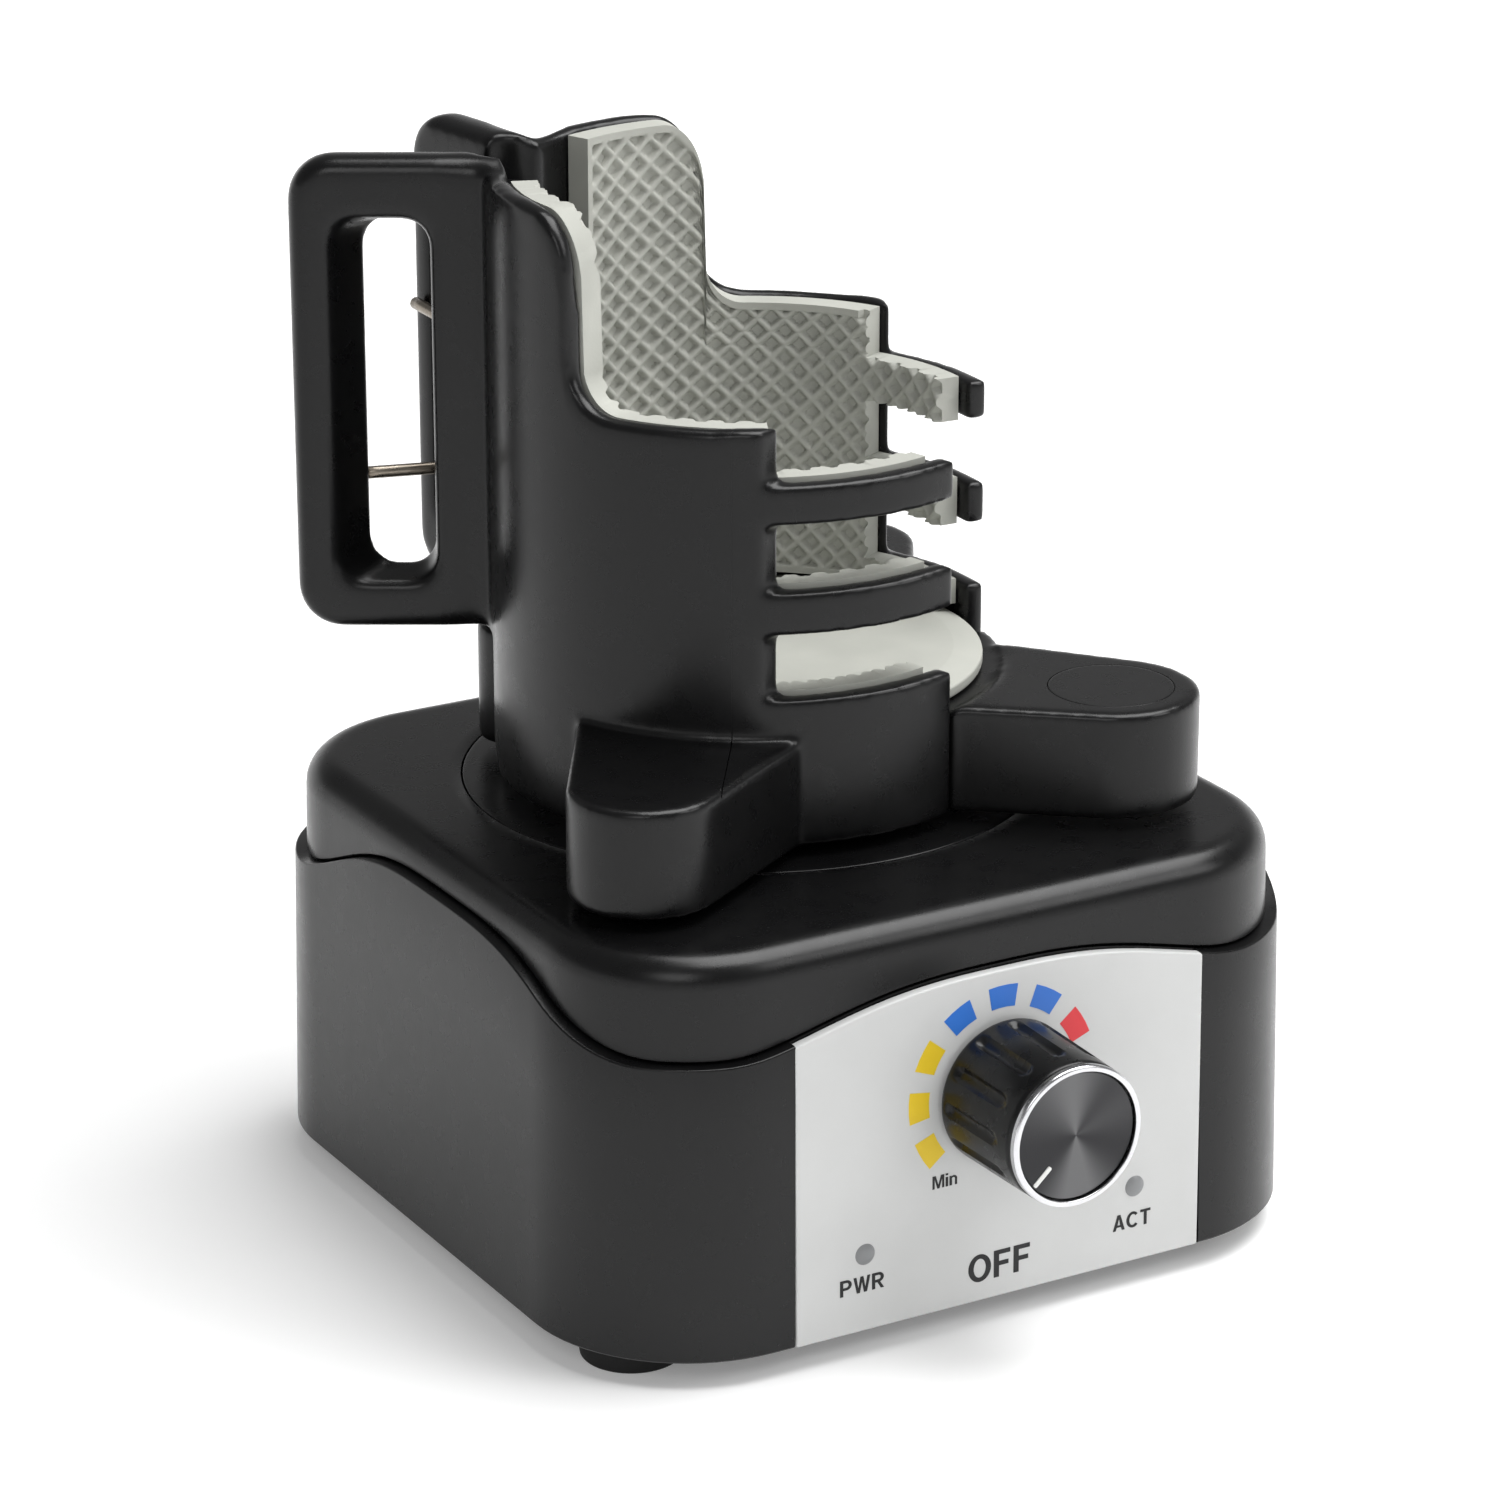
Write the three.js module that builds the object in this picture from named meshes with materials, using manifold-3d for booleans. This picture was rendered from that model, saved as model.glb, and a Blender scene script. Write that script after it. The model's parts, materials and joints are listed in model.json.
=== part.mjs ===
// A powered jar turner. A square base holds a gearmotor and a speed dial. A table on its top turns a cradle,
// whose two sprung jaws close round a jar and open when their handles are squeezed together.
// Millimetres, +Z up. The front, with the dial, faces -Y. The origin is under the middle of the whole object.
import * as THREE from "three";
import { mergeVertices } from "three/addons/utils/BufferGeometryUtils.js";
import Module from "manifold-3d";

const wasm = await Module();
wasm.setup();

// ---- Driving dimensions ----

const GAP = 0.3; // between pieces that touch
const THROUGH = 1; // how far a cutter runs past a face
const WELD = 1e-4;

// Casing: a rounded square that narrows upwards by its draft
const BASE_CENTRE_Y = 11.75;
const BASE_HALF = 75;
const BASE_CORNER = 30.5;
const BASE_BOTTOM = 5;
const DRAFT = 0.017;
const CASE_WALL = 4.2;
const CORNER_STEPS = 6;
const SIDE_STEPS = 9;

// Parting line between housing and cover: a low line with one hump on each face
const SEAM_LOW = 59.5;
const FRONT_HUMP = { rise: 7.5, middle: 2, reach: 56, shape: 1.4 };
const SIDE_HUMP = { rise: 12.3, middle: -7, reach: 60, shape: 1.7 };

// Cover, with the well its table turns in
const COVER_TOP = 78;
const COVER_INSET = 2.2;
const COVER_SHOULDER = 5.5;
const COVER_PLATE = 3;
const WELL_FLOOR_TOP = 72;
const WELL_FLOOR = 2.5;
const WELL_WALL = 3;
const WELL_CLEARANCE = 0.4;
const HUB_HOLE = 16;
const BOSS_AT = 46;
const BOSS_RADIUS = 4.5;

// Bottom plate, feet and screws
const PLATE_BOTTOM = 5.6;
const PLATE_TOP = 8.5;
const LEDGE_HEIGHT = 3;
const FOOT_X = 60.5;
const FOOT_Y = 53;
const FOOT_RADIUS = 9.7;
const FOOT_HEIGHT = 4.7;
const FOOT_CHAMFER = 0.8;
const FOOT_NECK = 4;
const FOOT_STEM = 2.2;
const FOOT_STEM_TOP = 10;
const SCREW_RADIUS = 1.5;
const SCREW_HEAD = 3;
const SCREW_HEAD_HEIGHT = 2;
const CASE_SCREW_TOP = 24;

// Front panel and lamps
const PANEL_X = 1.7;
const PANEL_HALF = 41.8;
const PANEL_THICK = 2;
const PANEL_PROUD = 0.1;
const LAMP_OFFSET = 28;
const LAMP_HEIGHT = 19.5;
const LAMP_RADIUS = 2.2;
const LAMP_LENGTH = 7;

// Dial, measured out from the front panel's foot
const KNOB_HEIGHT = 44.7;
const KNOB_RADIUS = 13.4;
const KNOB_BACK = 0.5;
const KNOB_FRONT = 23.5;
const KNOB_CAVITY = 9;
const KNOB_CAVITY_END = 5;
const KNOB_FLUTES = 12;
const FLUTE_RADIUS = 1.1;
const RIM_WIDTH = 1.2;
const RIM_DEPTH = 1.3;
const POINTER_START = 7;
const POINTER_WIDTH = 1;
const POINTER_ANGLE = 222.5;
const POT_SHAFT = 3;
const POT_SHAFT_END = 16.5;
const POT_CAN = 8.5;
const POT_DEPTH = 15.5;
const POT_FRONT = 5.3;
const BUSHING_RADIUS = 4.5;
const POT_NUT = 6.5;

// Power inlet in the back wall, measured in from the wall's foot
const INLET_X = 36;
const INLET_HEIGHT = 24;
const INLET_FLANGE = 7.5;
const INLET_FACE = 0.4;
const INLET_SEAT = 1.5;
const INLET_BODY = 5.5;
const INLET_DEPTH = 13;
const INLET_SOCKET = 3.2;
const INLET_SOCKET_DEPTH = 9;
const INLET_CONTACT = 1;
const INLET_NUT = 8;

// Control board and what stands on it
const BOARD = { x: 14, y: -38, halfX: 25, halfY: 19, bottom: 20, thick: 1.6, post: 3, postIn: 4 };
const CAPACITOR = { x: 14, y: -8, radius: 5, height: 16 };
const TERMINALS = { x: -12, y: -12, halfX: 7, halfY: 4, height: 9 };
const HEAT_SINK = { x: -6, y: 7, halfX: 8.8, halfY: 7, foot: 3.5, height: 15, fins: 5, pitch: 4, fin: 1.6 };

// Cradle, measured from the turning axis
const CRADLE_X = -1;
const CRADLE_Y = 8.5;
const HINGE_ANGLE = 135;
const HINGE_RADIUS = 45;
const PIN = new THREE.Vector2(HINGE_RADIUS, 0);
const TABLE_RADIUS = 53;
const TABLE_TOP = COVER_TOP;
const TABLE_BOTTOM = 75.2;
const TABLE_SIDES = 56;
const HUB_RADIUS = 12;
const CRADLE_SCREW_CIRCLE = 18;
const CRADLE_SCREW_LENGTH = 14;
const CRADLE_BOTTOM = 80;
const ARM_TOP = 100;
const ARM = { middle: 180, spread: 24, reach: 67, radius: 16 };
const ARM_CAP_RADIUS = 11.1;
const ARM_CAP_THICK = 0.9;
const PEDESTAL_RADIUS = 42.3;
const PEDESTAL_TOP = 99;
const PEDESTAL_SKIN = 3;
const CORE_RADIUS = 24;
const BRIDGE_IN = 4;
const PAD_THICK = 3;
const PAD_RIM = 0.8;

// Jaws: angles on a jaw are counted from the hinge
const SHELL_OUTER = 47;
const SHELL_INNER = 43;
const LINER_INNER = 38;
const LINER_BOTTOM = 103.2;
const LINER_START = 24;
const LINER_SINK = 0.7; // below the shell's edge
const STRIP_PROUD = 0.5; // beyond a finger's edges
const SHELL_START = 12;
const TALL_END = 62;
const CROWN = { start: 50, drop: 13 };
const DIP = { end: 73, rise: 9 };
const WINDOW_START = 107;
const WINDOW_BEVEL = 5;
const FRONT_TIP = 154.5;
const REAR_TIP = 142;
const TALL_TOP = 191;
const MIDDLE_TOP = 156.5;
const FINGER_TOP = 146.5;
const WINDOWS = [
  [107.5, 119.3],
  [127.2, 139.2],
];
const LOBE = { middle: 90, spread: 29, reach: 70.4, radius: 13.5 };
const JAW_STRIDE = 6;
const JAW_ANGLES = [
  ...steps(SHELL_START, CROWN.start - 5, JAW_STRIDE),
  ...steps(CROWN.start, TALL_END - 4, 4),
  TALL_END - 2,
  TALL_END - 0.7,
  TALL_END,
  TALL_END + 1,
  TALL_END + 3,
  TALL_END + 6,
  ...steps(DIP.end, WINDOW_START, JAW_STRIDE),
];

// Handles. Headings are counted from the hinge's own direction, and slots are [near, far, bottom, top].
const HANDLE_ROOT = 15;
const HANDLE_BOTTOM = 104.5;
const HANDLE_TOP = 192.5;
const HANDLE_THICK = 9;
const HANDLE_CORNER = 8;
const HANDLE_OVERLAP = 3;
const SLOT_CORNER = 5;
const FRONT_HANDLE = {
  heading: 15,
  length: 35.4,
  slot: [10, 28.4, 113.4, 181.7],
  slotInside: [10.5, 21.5, 115.5, 180],
};
const REAR_HANDLE = {
  heading: -36.5,
  length: 25,
  slot: [7, 19, 113.4, 181.7],
  slotInside: [7.5, 18, 115.5, 180],
};

// Hinge pin, knuckles and springs, by height
const PIN_RADIUS = 2.5;
const PIN_FOOT = 84;
const PIN_HEAD = 179.4;
const PIN_CAP_RADIUS = 5.5;
const PIN_CAP_HEIGHT = 6;
const PIN_CAP_SOCKET = 4;
const KNUCKLE_RADIUS = 7;
const KNUCKLE_CLEARANCE = 0.6;
const EAR_TOP = 102.6;
const REAR_KNUCKLES = [
  [103.2, 110],
  [133.5, 143],
  [171.4, 175],
];
const FRONT_KNUCKLES = [
  [110.4, 117],
  [143.4, 153],
  [175.4, 179],
];
const SPRING_WIRE = 1.15;
const SPRING_RADIUS = 5.6;
const SPRING_TURNS = 3;
const SPRING_PITCH = 3.2;
const LOWER_SPRING = { bottom: 119.3, low: { heading: -55, length: 13 }, high: { heading: 29, length: 27 } };
const UPPER_SPRING = { bottom: 157, low: { heading: -46, length: 28 }, high: { heading: 60, length: 6.8 } };

// Drive
const GEAR_MODULE = 1.5;
const GEAR_TEETH = 40;
const PINION_TEETH = 12;
const GEAR_BOTTOM = 60;
const GEAR_TOP = 67;
const TOOTH_ROOT = 1.2;
const TOOTH_TIP = 0.85;
const ROOT_SHARE = 0.27;
const TIP_SHARE = 0.1;
const SPINDLE_RADIUS = 6;
const TOWER_BORE = 11.3;
const TOWER_RADIUS = 14.5;
const TOWER_NECK = 9;
const TOWER_MOUTH = 7.5;
const TOWER_FLANGE = 22;
const TOWER_FLANGE_TOP = 12.5;
const BEARING_HEIGHT = 7;
const LOWER_BEARING = 14;
const UPPER_BEARING = 50;
const MOTOR_RADIUS = 17;
const CAN_RADIUS = 15.5;
const GEARBOX_FOOT = 34;
const MOTOR_TOP = 50;
const MOTOR_DISTANCE = (GEAR_MODULE * (GEAR_TEETH + PINION_TEETH)) / 2 + GAP;
const BRACKET = { half: 20, thick: 2, screwAt: 11, post: 3 };
const MOTOR_SCREW = { radius: 1.2, hole: 1.5, depth: 7.5, head: 2.6, headHeight: 1.6 };

// ---- Solids ----

const radians = THREE.MathUtils.degToRad;

function polar(radius, degrees) {
  return new THREE.Vector2(radius * Math.cos(radians(degrees)), radius * Math.sin(radians(degrees)));
}

function turnedPoint([x, y], degrees) {
  const [c, s] = [Math.cos(radians(degrees)), Math.sin(radians(degrees))];
  return [x * c - y * s, x * s + y * c];
}

function signedVolume(points, corners) {
  const [a, b, c] = [new THREE.Vector3(), new THREE.Vector3(), new THREE.Vector3()];
  let volume = 0;
  for (let i = 0; i < corners.length; i += 3) {
    a.fromBufferAttribute(points, corners[i]);
    b.fromBufferAttribute(points, corners[i + 1]);
    c.fromBufferAttribute(points, corners[i + 2]);
    volume += a.dot(b.cross(c)) / 6;
  }
  return volume;
}

// A closed geometry as a solid: shared corners are welded, slivers dropped and the faces turned outwards.
function toSolid(geometry) {
  const bare = geometry.index ? geometry.toNonIndexed() : geometry.clone();
  bare.deleteAttribute("normal");
  bare.deleteAttribute("uv");
  const welded = mergeVertices(bare, WELD);
  const corners = [];
  for (let i = 0; i < welded.index.count; i += 3) {
    const [a, b, c] = [0, 1, 2].map((k) => welded.index.getX(i + k));
    if (a !== b && b !== c && c !== a) corners.push(a, b, c);
  }
  if (signedVolume(welded.attributes.position, corners) < 0) corners.reverse();
  return new wasm.Manifold(
    new wasm.Mesh({
      numProp: 3,
      vertProperties: new Float32Array(welded.attributes.position.array),
      triVerts: new Uint32Array(corners),
    }),
  );
}

function toGeometry(solid) {
  const mesh = solid.getMesh();
  const geometry = new THREE.BufferGeometry();
  geometry.setAttribute("position", new THREE.BufferAttribute(mesh.vertProperties, 3));
  geometry.setIndex(new THREE.BufferAttribute(mesh.triVerts, 1));
  geometry.computeVertexNormals();
  return geometry;
}

function join(first, ...others) {
  return others.reduce((whole, other) => whole.add(other), first);
}

function cut(first, ...others) {
  return others.reduce((whole, other) => whole.subtract(other), first);
}

function prism(shape, bottom, top, curveSegments = 8) {
  const options = { depth: top - bottom, bevelEnabled: false, curveSegments };
  return toSolid(new THREE.ExtrudeGeometry(shape, options).translate(0, 0, bottom));
}

function box(x0, x1, y0, y1, z0, z1) {
  const geometry = new THREE.BoxGeometry(x1 - x0, y1 - y0, z1 - z0);
  return toSolid(geometry.translate((x0 + x1) / 2, (y0 + y1) / 2, (z0 + z1) / 2));
}

function rod(radius, bottom, top, sides = 24, x = 0, y = 0) {
  const geometry = new THREE.CylinderGeometry(radius, radius, top - bottom, sides).rotateX(Math.PI / 2);
  return toSolid(geometry.translate(x, y, (bottom + top) / 2));
}

// A turned solid about Z. The profile is a list of [radius, height].
function turned(profile, sides = 24) {
  const points = profile.map(([radius, height]) => new THREE.Vector2(radius, height));
  return toSolid(new THREE.LatheGeometry(points, sides).rotateX(Math.PI / 2));
}

function ring(inner, outer, bottom, top, sides = 24) {
  const profile = [
    [inner, bottom],
    [outer, bottom],
    [outer, top],
    [inner, top],
    [inner, bottom],
  ];
  return turned(profile, sides);
}

function hexNut(bore, radius, bottom, top) {
  return cut(rod(radius, bottom, top, 6), rod(bore, bottom - THROUGH, top + THROUGH, 20));
}

// Skins a list of rings, each with the same number of points, in order. An open loft gets flat ends.
function loft(rings, closed = false) {
  const size = rings[0].length;
  const corners = [];
  const last = closed ? rings.length : rings.length - 1;
  for (let i = 0; i < last; i += 1) {
    const here = i * size;
    const next = ((i + 1) % rings.length) * size;
    for (let j = 0; j < size; j += 1) {
      const k = (j + 1) % size;
      corners.push(here + j, here + k, next + j);
      corners.push(here + k, next + k, next + j);
    }
  }
  const end = (rings.length - 1) * size;
  for (let j = 1; j < size - 1 && !closed; j += 1) {
    corners.push(0, j + 1, j);
    corners.push(end, end + j, end + j + 1);
  }
  const geometry = new THREE.BufferGeometry().setFromPoints(rings.flat());
  geometry.setIndex(corners);
  return toSolid(geometry);
}

function material(color, roughness, metalness = 0) {
  return new THREE.MeshStandardMaterial({ color, roughness, metalness, flatShading: true });
}

const blackPlastic = material(0x262628, 0.55);
const greyPanel = material(0xd4d5d3, 0.4);
const greyRubber = material(0xb2b4aa, 0.8);
const blackRubber = material(0x151515, 0.9);
const steel = material(0xb8b8ba, 0.3, 1);
const springSteel = material(0x8d8478, 0.35, 1);
const castMetal = material(0x8d9093, 0.5, 0.8);
const gearPlastic = material(0xe6e2d4, 0.5);
const boardGreen = material(0x1f5a36, 0.6);
const lampGrey = material(0x8a8c8d, 0.35);
const silver = material(0xe8e8ea, 0.2, 1);
const white = material(0xf2f2f0, 0.5);

function part(name, solid, finish) {
  const mesh = new THREE.Mesh(toGeometry(solid), finish);
  mesh.name = name;
  return mesh;
}

function group(...children) {
  const holder = new THREE.Group();
  holder.add(...children);
  return holder;
}

// ---- Casing ----

function hump({ rise, middle, reach, shape }, along) {
  const share = Math.min(Math.abs((along - middle) / reach), 1);
  return rise * Math.cos((Math.PI / 2) * share ** shape) ** 2;
}

// Height of the parting line at a point on the casing's wall.
function seamHeight(x, y) {
  const onFront = Math.abs(y) > Math.abs(x);
  return SEAM_LOW + (onFront ? hump(FRONT_HUMP, x) : hump(SIDE_HUMP, y));
}

// The casing's plan outline, in from its widest line, as a list of [x, y].
function casingOutline(inset) {
  const radius = BASE_CORNER - inset;
  const middle = BASE_HALF - BASE_CORNER;
  const points = [];
  for (let corner = 0; corner < 4; corner += 1) {
    const spin = (point) => turnedPoint(point, 90 * corner);
    for (let i = 0; i < SIDE_STEPS; i += 1) {
      points.push(spin([middle + radius, -middle + (2 * middle * i) / SIDE_STEPS]));
    }
    for (let i = 0; i < CORNER_STEPS; i += 1) {
      const angle = radians((90 * i) / CORNER_STEPS);
      points.push(spin([middle + radius * Math.cos(angle), middle + radius * Math.sin(angle)]));
    }
  }
  return points;
}

// A ring of the casing at a height, or following the parting line when the height is a function.
function casingRing(inset, height) {
  return casingOutline(inset).map(([x, y]) => {
    const z = typeof height === "function" ? height(x, y) : height;
    const lean = 1 - (DRAFT * (z - BASE_BOTTOM)) / BASE_HALF;
    return new THREE.Vector3(x * lean, y * lean, z);
  });
}

function casingPrism(inset, bottom, top) {
  return prism(new THREE.Shape(casingOutline(inset).map(([x, y]) => new THREE.Vector2(x, y))), bottom, top);
}

// What stands along the dial's axis, lying along -Y, as a solid in the casing's frame.
function facingFront(solid, x, y, z) {
  return toSolid(toGeometry(solid).rotateX(Math.PI / 2).translate(x, y, z));
}

function facingBack(solid, x, y, z) {
  return toSolid(toGeometry(solid).rotateX(-Math.PI / 2).translate(x, y, z));
}

function frontHoles(bushingRadius, lampRadius) {
  const reach = 2 * CASE_WALL;
  const hole = (radius, x, z) => facingFront(rod(radius, -reach, reach), x, -BASE_HALF, z);
  return [
    hole(bushingRadius, PANEL_X, KNOB_HEIGHT),
    hole(lampRadius, PANEL_X - LAMP_OFFSET, LAMP_HEIGHT),
    hole(lampRadius, PANEL_X + LAMP_OFFSET, LAMP_HEIGHT),
  ];
}

function baseHousing() {
  const shell = loft(
    [
      casingRing(0, BASE_BOTTOM),
      casingRing(0, seamHeight),
      casingRing(CASE_WALL, seamHeight),
      casingRing(CASE_WALL, BASE_BOTTOM),
    ],
    true,
  );
  const ledgeBottom = PLATE_TOP + GAP;
  const ledgeTop = ledgeBottom + LEDGE_HEIGHT;
  const ledge = loft(
    [
      casingRing(CASE_WALL / 2, ledgeBottom),
      casingRing(CASE_WALL / 2, ledgeTop),
      casingRing(CASE_WALL + LEDGE_HEIGHT, ledgeTop),
      casingRing(CASE_WALL + LEDGE_HEIGHT, ledgeBottom),
    ],
    true,
  );
  const panelPocket = panelSlab(PANEL_HALF + GAP, PANEL_THICK + GAP, THROUGH, 4 * THROUGH);
  const inletAt = [INLET_X, BASE_HALF, INLET_HEIGHT];
  const inletHole = facingBack(rod(INLET_BODY + GAP, -3 * CASE_WALL, THROUGH), ...inletAt);
  const inletPocket = facingBack(rod(INLET_FLANGE + GAP, -INLET_SEAT - GAP, THROUGH), ...inletAt);
  const holes = frontHoles(BUSHING_RADIUS + GAP, LAMP_RADIUS + GAP);
  return cut(join(shell, ledge), panelPocket, inletHole, inletPocket, ...holes);
}

// A slab in the plane of the front wall, whose top follows the parting line.
function panelSlab(half, thick, proud, above) {
  const sections = [];
  for (let i = 0; i <= 2 * SIDE_STEPS; i += 1) {
    const x = PANEL_X - half + (half * i) / SIDE_STEPS;
    const top = seamHeight(x, -BASE_HALF) + above;
    const foot = BASE_BOTTOM - Math.max(above, 0);
    const face = (z) => -BASE_HALF + DRAFT * (z - BASE_BOTTOM) - proud;
    sections.push([
      new THREE.Vector3(x, face(foot), foot),
      new THREE.Vector3(x, face(foot) + thick + proud, foot),
      new THREE.Vector3(x, face(top) + thick + proud, top),
      new THREE.Vector3(x, face(top), top),
    ]);
  }
  return loft(sections);
}

function frontPanel() {
  const slab = panelSlab(PANEL_HALF, PANEL_THICK, PANEL_PROUD, -GAP);
  return cut(slab, ...frontHoles(BUSHING_RADIUS + GAP, LAMP_RADIUS + GAP));
}

function topCover() {
  const shoulderTop = COVER_TOP;
  const shoulderFoot = COVER_TOP - COVER_SHOULDER;
  const rim = (x, y) => seamHeight(x, y) + GAP;
  const outside = [casingRing(COVER_INSET, rim)];
  for (let angle = 0; angle <= 90; angle += 30) {
    const inset = COVER_INSET + COVER_SHOULDER * (1 - Math.cos(radians(angle)));
    outside.push(casingRing(inset, shoulderFoot + COVER_SHOULDER * Math.sin(radians(angle))));
  }
  const insideWall = COVER_INSET + CASE_WALL;
  const inside = [
    casingRing(insideWall + COVER_SHOULDER, shoulderTop - COVER_PLATE),
    casingRing(insideWall + THROUGH, shoulderTop - COVER_PLATE - THROUGH),
    casingRing(insideWall, rim),
  ];
  const skirt = loft([...outside, ...inside], true);
  const plateInset = COVER_INSET + COVER_SHOULDER + 2 * THROUGH;
  const plate = casingPrism(plateInset, shoulderTop - COVER_PLATE, shoulderTop);
  const wellRadius = TABLE_RADIUS + WELL_CLEARANCE;
  const wellBottom = WELL_FLOOR_TOP - WELL_FLOOR;
  const [x, y] = [CRADLE_X, CRADLE_Y];
  const well = rod(wellRadius + WELL_WALL, wellBottom, shoulderTop - THROUGH, TABLE_SIDES, x, y);
  const recess = rod(wellRadius, WELL_FLOOR_TOP, shoulderTop + THROUGH, TABLE_SIDES, x, y);
  const hubHole = rod(HUB_HOLE, wellBottom - THROUGH, shoulderTop, 32, x, y);
  const bosses = cornerPoints(BOSS_AT, BOSS_AT).map(([bx, by]) =>
    rod(BOSS_RADIUS, PLATE_TOP + GAP + LEDGE_HEIGHT, shoulderTop - COVER_PLATE + THROUGH, 16, bx, by),
  );
  const pilots = cornerPoints(BOSS_AT, BOSS_AT).map(([bx, by]) =>
    rod(SCREW_RADIUS + GAP, PLATE_TOP, CASE_SCREW_TOP + GAP, 8, bx, by),
  );
  return cut(join(skirt, plate, well, ...bosses), recess, hubHole, ...pilots);
}

function cornerPoints(x, y) {
  return [
    [-x, -y],
    [x, -y],
    [-x, y],
    [x, y],
  ];
}

function bottomPlate() {
  const plate = casingPrism(CASE_WALL + GAP, PLATE_BOTTOM, PLATE_TOP);
  const posts = cornerPoints(BOARD.halfX - BOARD.postIn, BOARD.halfY - BOARD.postIn).map(([x, y]) =>
    rod(BOARD.post, PLATE_TOP - THROUGH, BOARD.bottom - GAP, 12, BOARD.x + x, BOARD.y + y),
  );
  const through = (radius, sides) => ([x, y]) => rod(radius, 0, PLATE_TOP + THROUGH, sides, x, y);
  const screwHoles = cornerPoints(BOSS_AT, BOSS_AT).map(through(SCREW_RADIUS + GAP, 8));
  const footHoles = cornerPoints(FOOT_X, FOOT_Y).map(through(FOOT_STEM + GAP, 16));
  return cut(join(plate, ...posts), ...screwHoles, ...footHoles);
}

function foot(index) {
  const profile = [
    [0, 0],
    [FOOT_RADIUS - FOOT_CHAMFER, 0],
    [FOOT_RADIUS, FOOT_CHAMFER],
    [FOOT_RADIUS, FOOT_HEIGHT],
    [FOOT_NECK, FOOT_HEIGHT],
    [FOOT_NECK, PLATE_BOTTOM - GAP],
    [FOOT_STEM, PLATE_BOTTOM - GAP],
    [FOOT_STEM, FOOT_STEM_TOP],
    [0, FOOT_STEM_TOP],
  ];
  const mesh = part(`foot_${index + 1}`, turned(profile, 16), blackRubber);
  const [x, y] = cornerPoints(FOOT_X, FOOT_Y)[index];
  mesh.position.set(x, y, 0);
  return mesh;
}

// A round-headed screw with its head below, its seat at height zero and its tip at the given length.
function screw(name, length) {
  const profile = [
    [0, -SCREW_HEAD_HEIGHT],
    [SCREW_HEAD, -SCREW_HEAD_HEIGHT],
    [SCREW_HEAD, 0],
    [SCREW_RADIUS, 0],
    [SCREW_RADIUS, length - SCREW_RADIUS],
    [SCREW_RADIUS / 2, length],
    [0, length],
  ];
  return part(name, turned(profile, 8), steel);
}

function caseScrew(index) {
  const seat = PLATE_BOTTOM - GAP;
  const mesh = screw(`case_screw_${index + 1}`, CASE_SCREW_TOP - seat);
  const [x, y] = cornerPoints(BOSS_AT, BOSS_AT)[index];
  mesh.position.set(x, y, seat);
  return mesh;
}

// ---- Electrics ----

function powerInlet() {
  const profile = [
    [0, -INLET_DEPTH],
    [INLET_BODY, -INLET_DEPTH],
    [INLET_BODY, -INLET_SEAT],
    [INLET_FLANGE, -INLET_SEAT],
    [INLET_FLANGE, -INLET_FACE],
    [INLET_SOCKET, -INLET_FACE],
    [INLET_SOCKET, -INLET_SOCKET_DEPTH],
    [INLET_CONTACT, -INLET_SOCKET_DEPTH],
    [INLET_CONTACT, -2 * INLET_CONTACT],
    [0, -2 * INLET_CONTACT],
  ];
  const nutFront = -CASE_WALL - 2 * GAP;
  const jack = part("power_inlet", turned(profile, 20), blackPlastic);
  const nut = part("inlet_nut", hexNut(INLET_BODY + GAP, INLET_NUT, -2 * CASE_WALL, nutFront), steel);
  const holder = group(jack, nut);
  holder.position.set(INLET_X, BASE_HALF, INLET_HEIGHT);
  holder.rotation.x = -Math.PI / 2;
  return holder;
}

function controlBoard() {
  const { halfX, halfY, thick } = BOARD;
  const board = part("control_board", box(-halfX, halfX, -halfY, halfY, 0, thick), boardGreen);
  const above = thick + GAP;
  const { height, halfX: ends, halfY: sides } = TERMINALS;
  const can = rod(CAPACITOR.radius, above, above + CAPACITOR.height);
  const capacitor = part("board_capacitor", can, blackPlastic);
  capacitor.position.set(CAPACITOR.x, CAPACITOR.y, 0);
  const block = box(-ends, ends, -sides, sides, above, above + height);
  const terminals = part("board_terminals", block, boardGreen);
  terminals.position.set(TERMINALS.x, TERMINALS.y, 0);
  const heatSink = part("board_heat_sink", heatSinkBody(above), castMetal);
  heatSink.position.set(HEAT_SINK.x, HEAT_SINK.y, 0);
  const holder = group(board, capacitor, heatSink, terminals);
  holder.position.set(BOARD.x, BOARD.y, BOARD.bottom);
  return holder;
}

function heatSinkBody(bottom) {
  const { halfX, halfY, foot, height, fins, pitch, fin } = HEAT_SINK;
  const plate = box(-halfX, halfX, -halfY, halfY, bottom, bottom + foot);
  const standing = [];
  for (let i = 0; i < fins; i += 1) {
    const x = (i - (fins - 1) / 2) * pitch;
    standing.push(box(x - fin / 2, x + fin / 2, -halfY, halfY, bottom + foot / 2, bottom + height));
  }
  return join(plate, ...standing);
}

// The lamps and the dial's works, in a frame whose +Z points out of the front.
function lamp(name, offset) {
  const profile = [
    [0, -LAMP_LENGTH],
    [LAMP_RADIUS, -LAMP_LENGTH],
    [LAMP_RADIUS, 0],
    [0, PANEL_PROUD],
  ];
  const lens = part(name, turned(profile, 20), lampGrey);
  lens.position.set(offset, LAMP_HEIGHT - KNOB_HEIGHT, 0);
  return lens;
}

function potentiometer() {
  const can = rod(POT_CAN, -POT_DEPTH, -POT_FRONT, 28);
  const bushing = rod(BUSHING_RADIUS, -POT_FRONT - THROUGH, THROUGH, 20);
  const bore = rod(POT_SHAFT + GAP, -POT_DEPTH + BUSHING_RADIUS, 2 * THROUGH, 20);
  const body = part("speed_potentiometer", cut(join(can, bushing), bore), castMetal);
  const nut = part("potentiometer_nut", hexNut(BUSHING_RADIUS + GAP, POT_NUT, -0.2, 1.6), steel);
  return group(body, nut);
}

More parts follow.
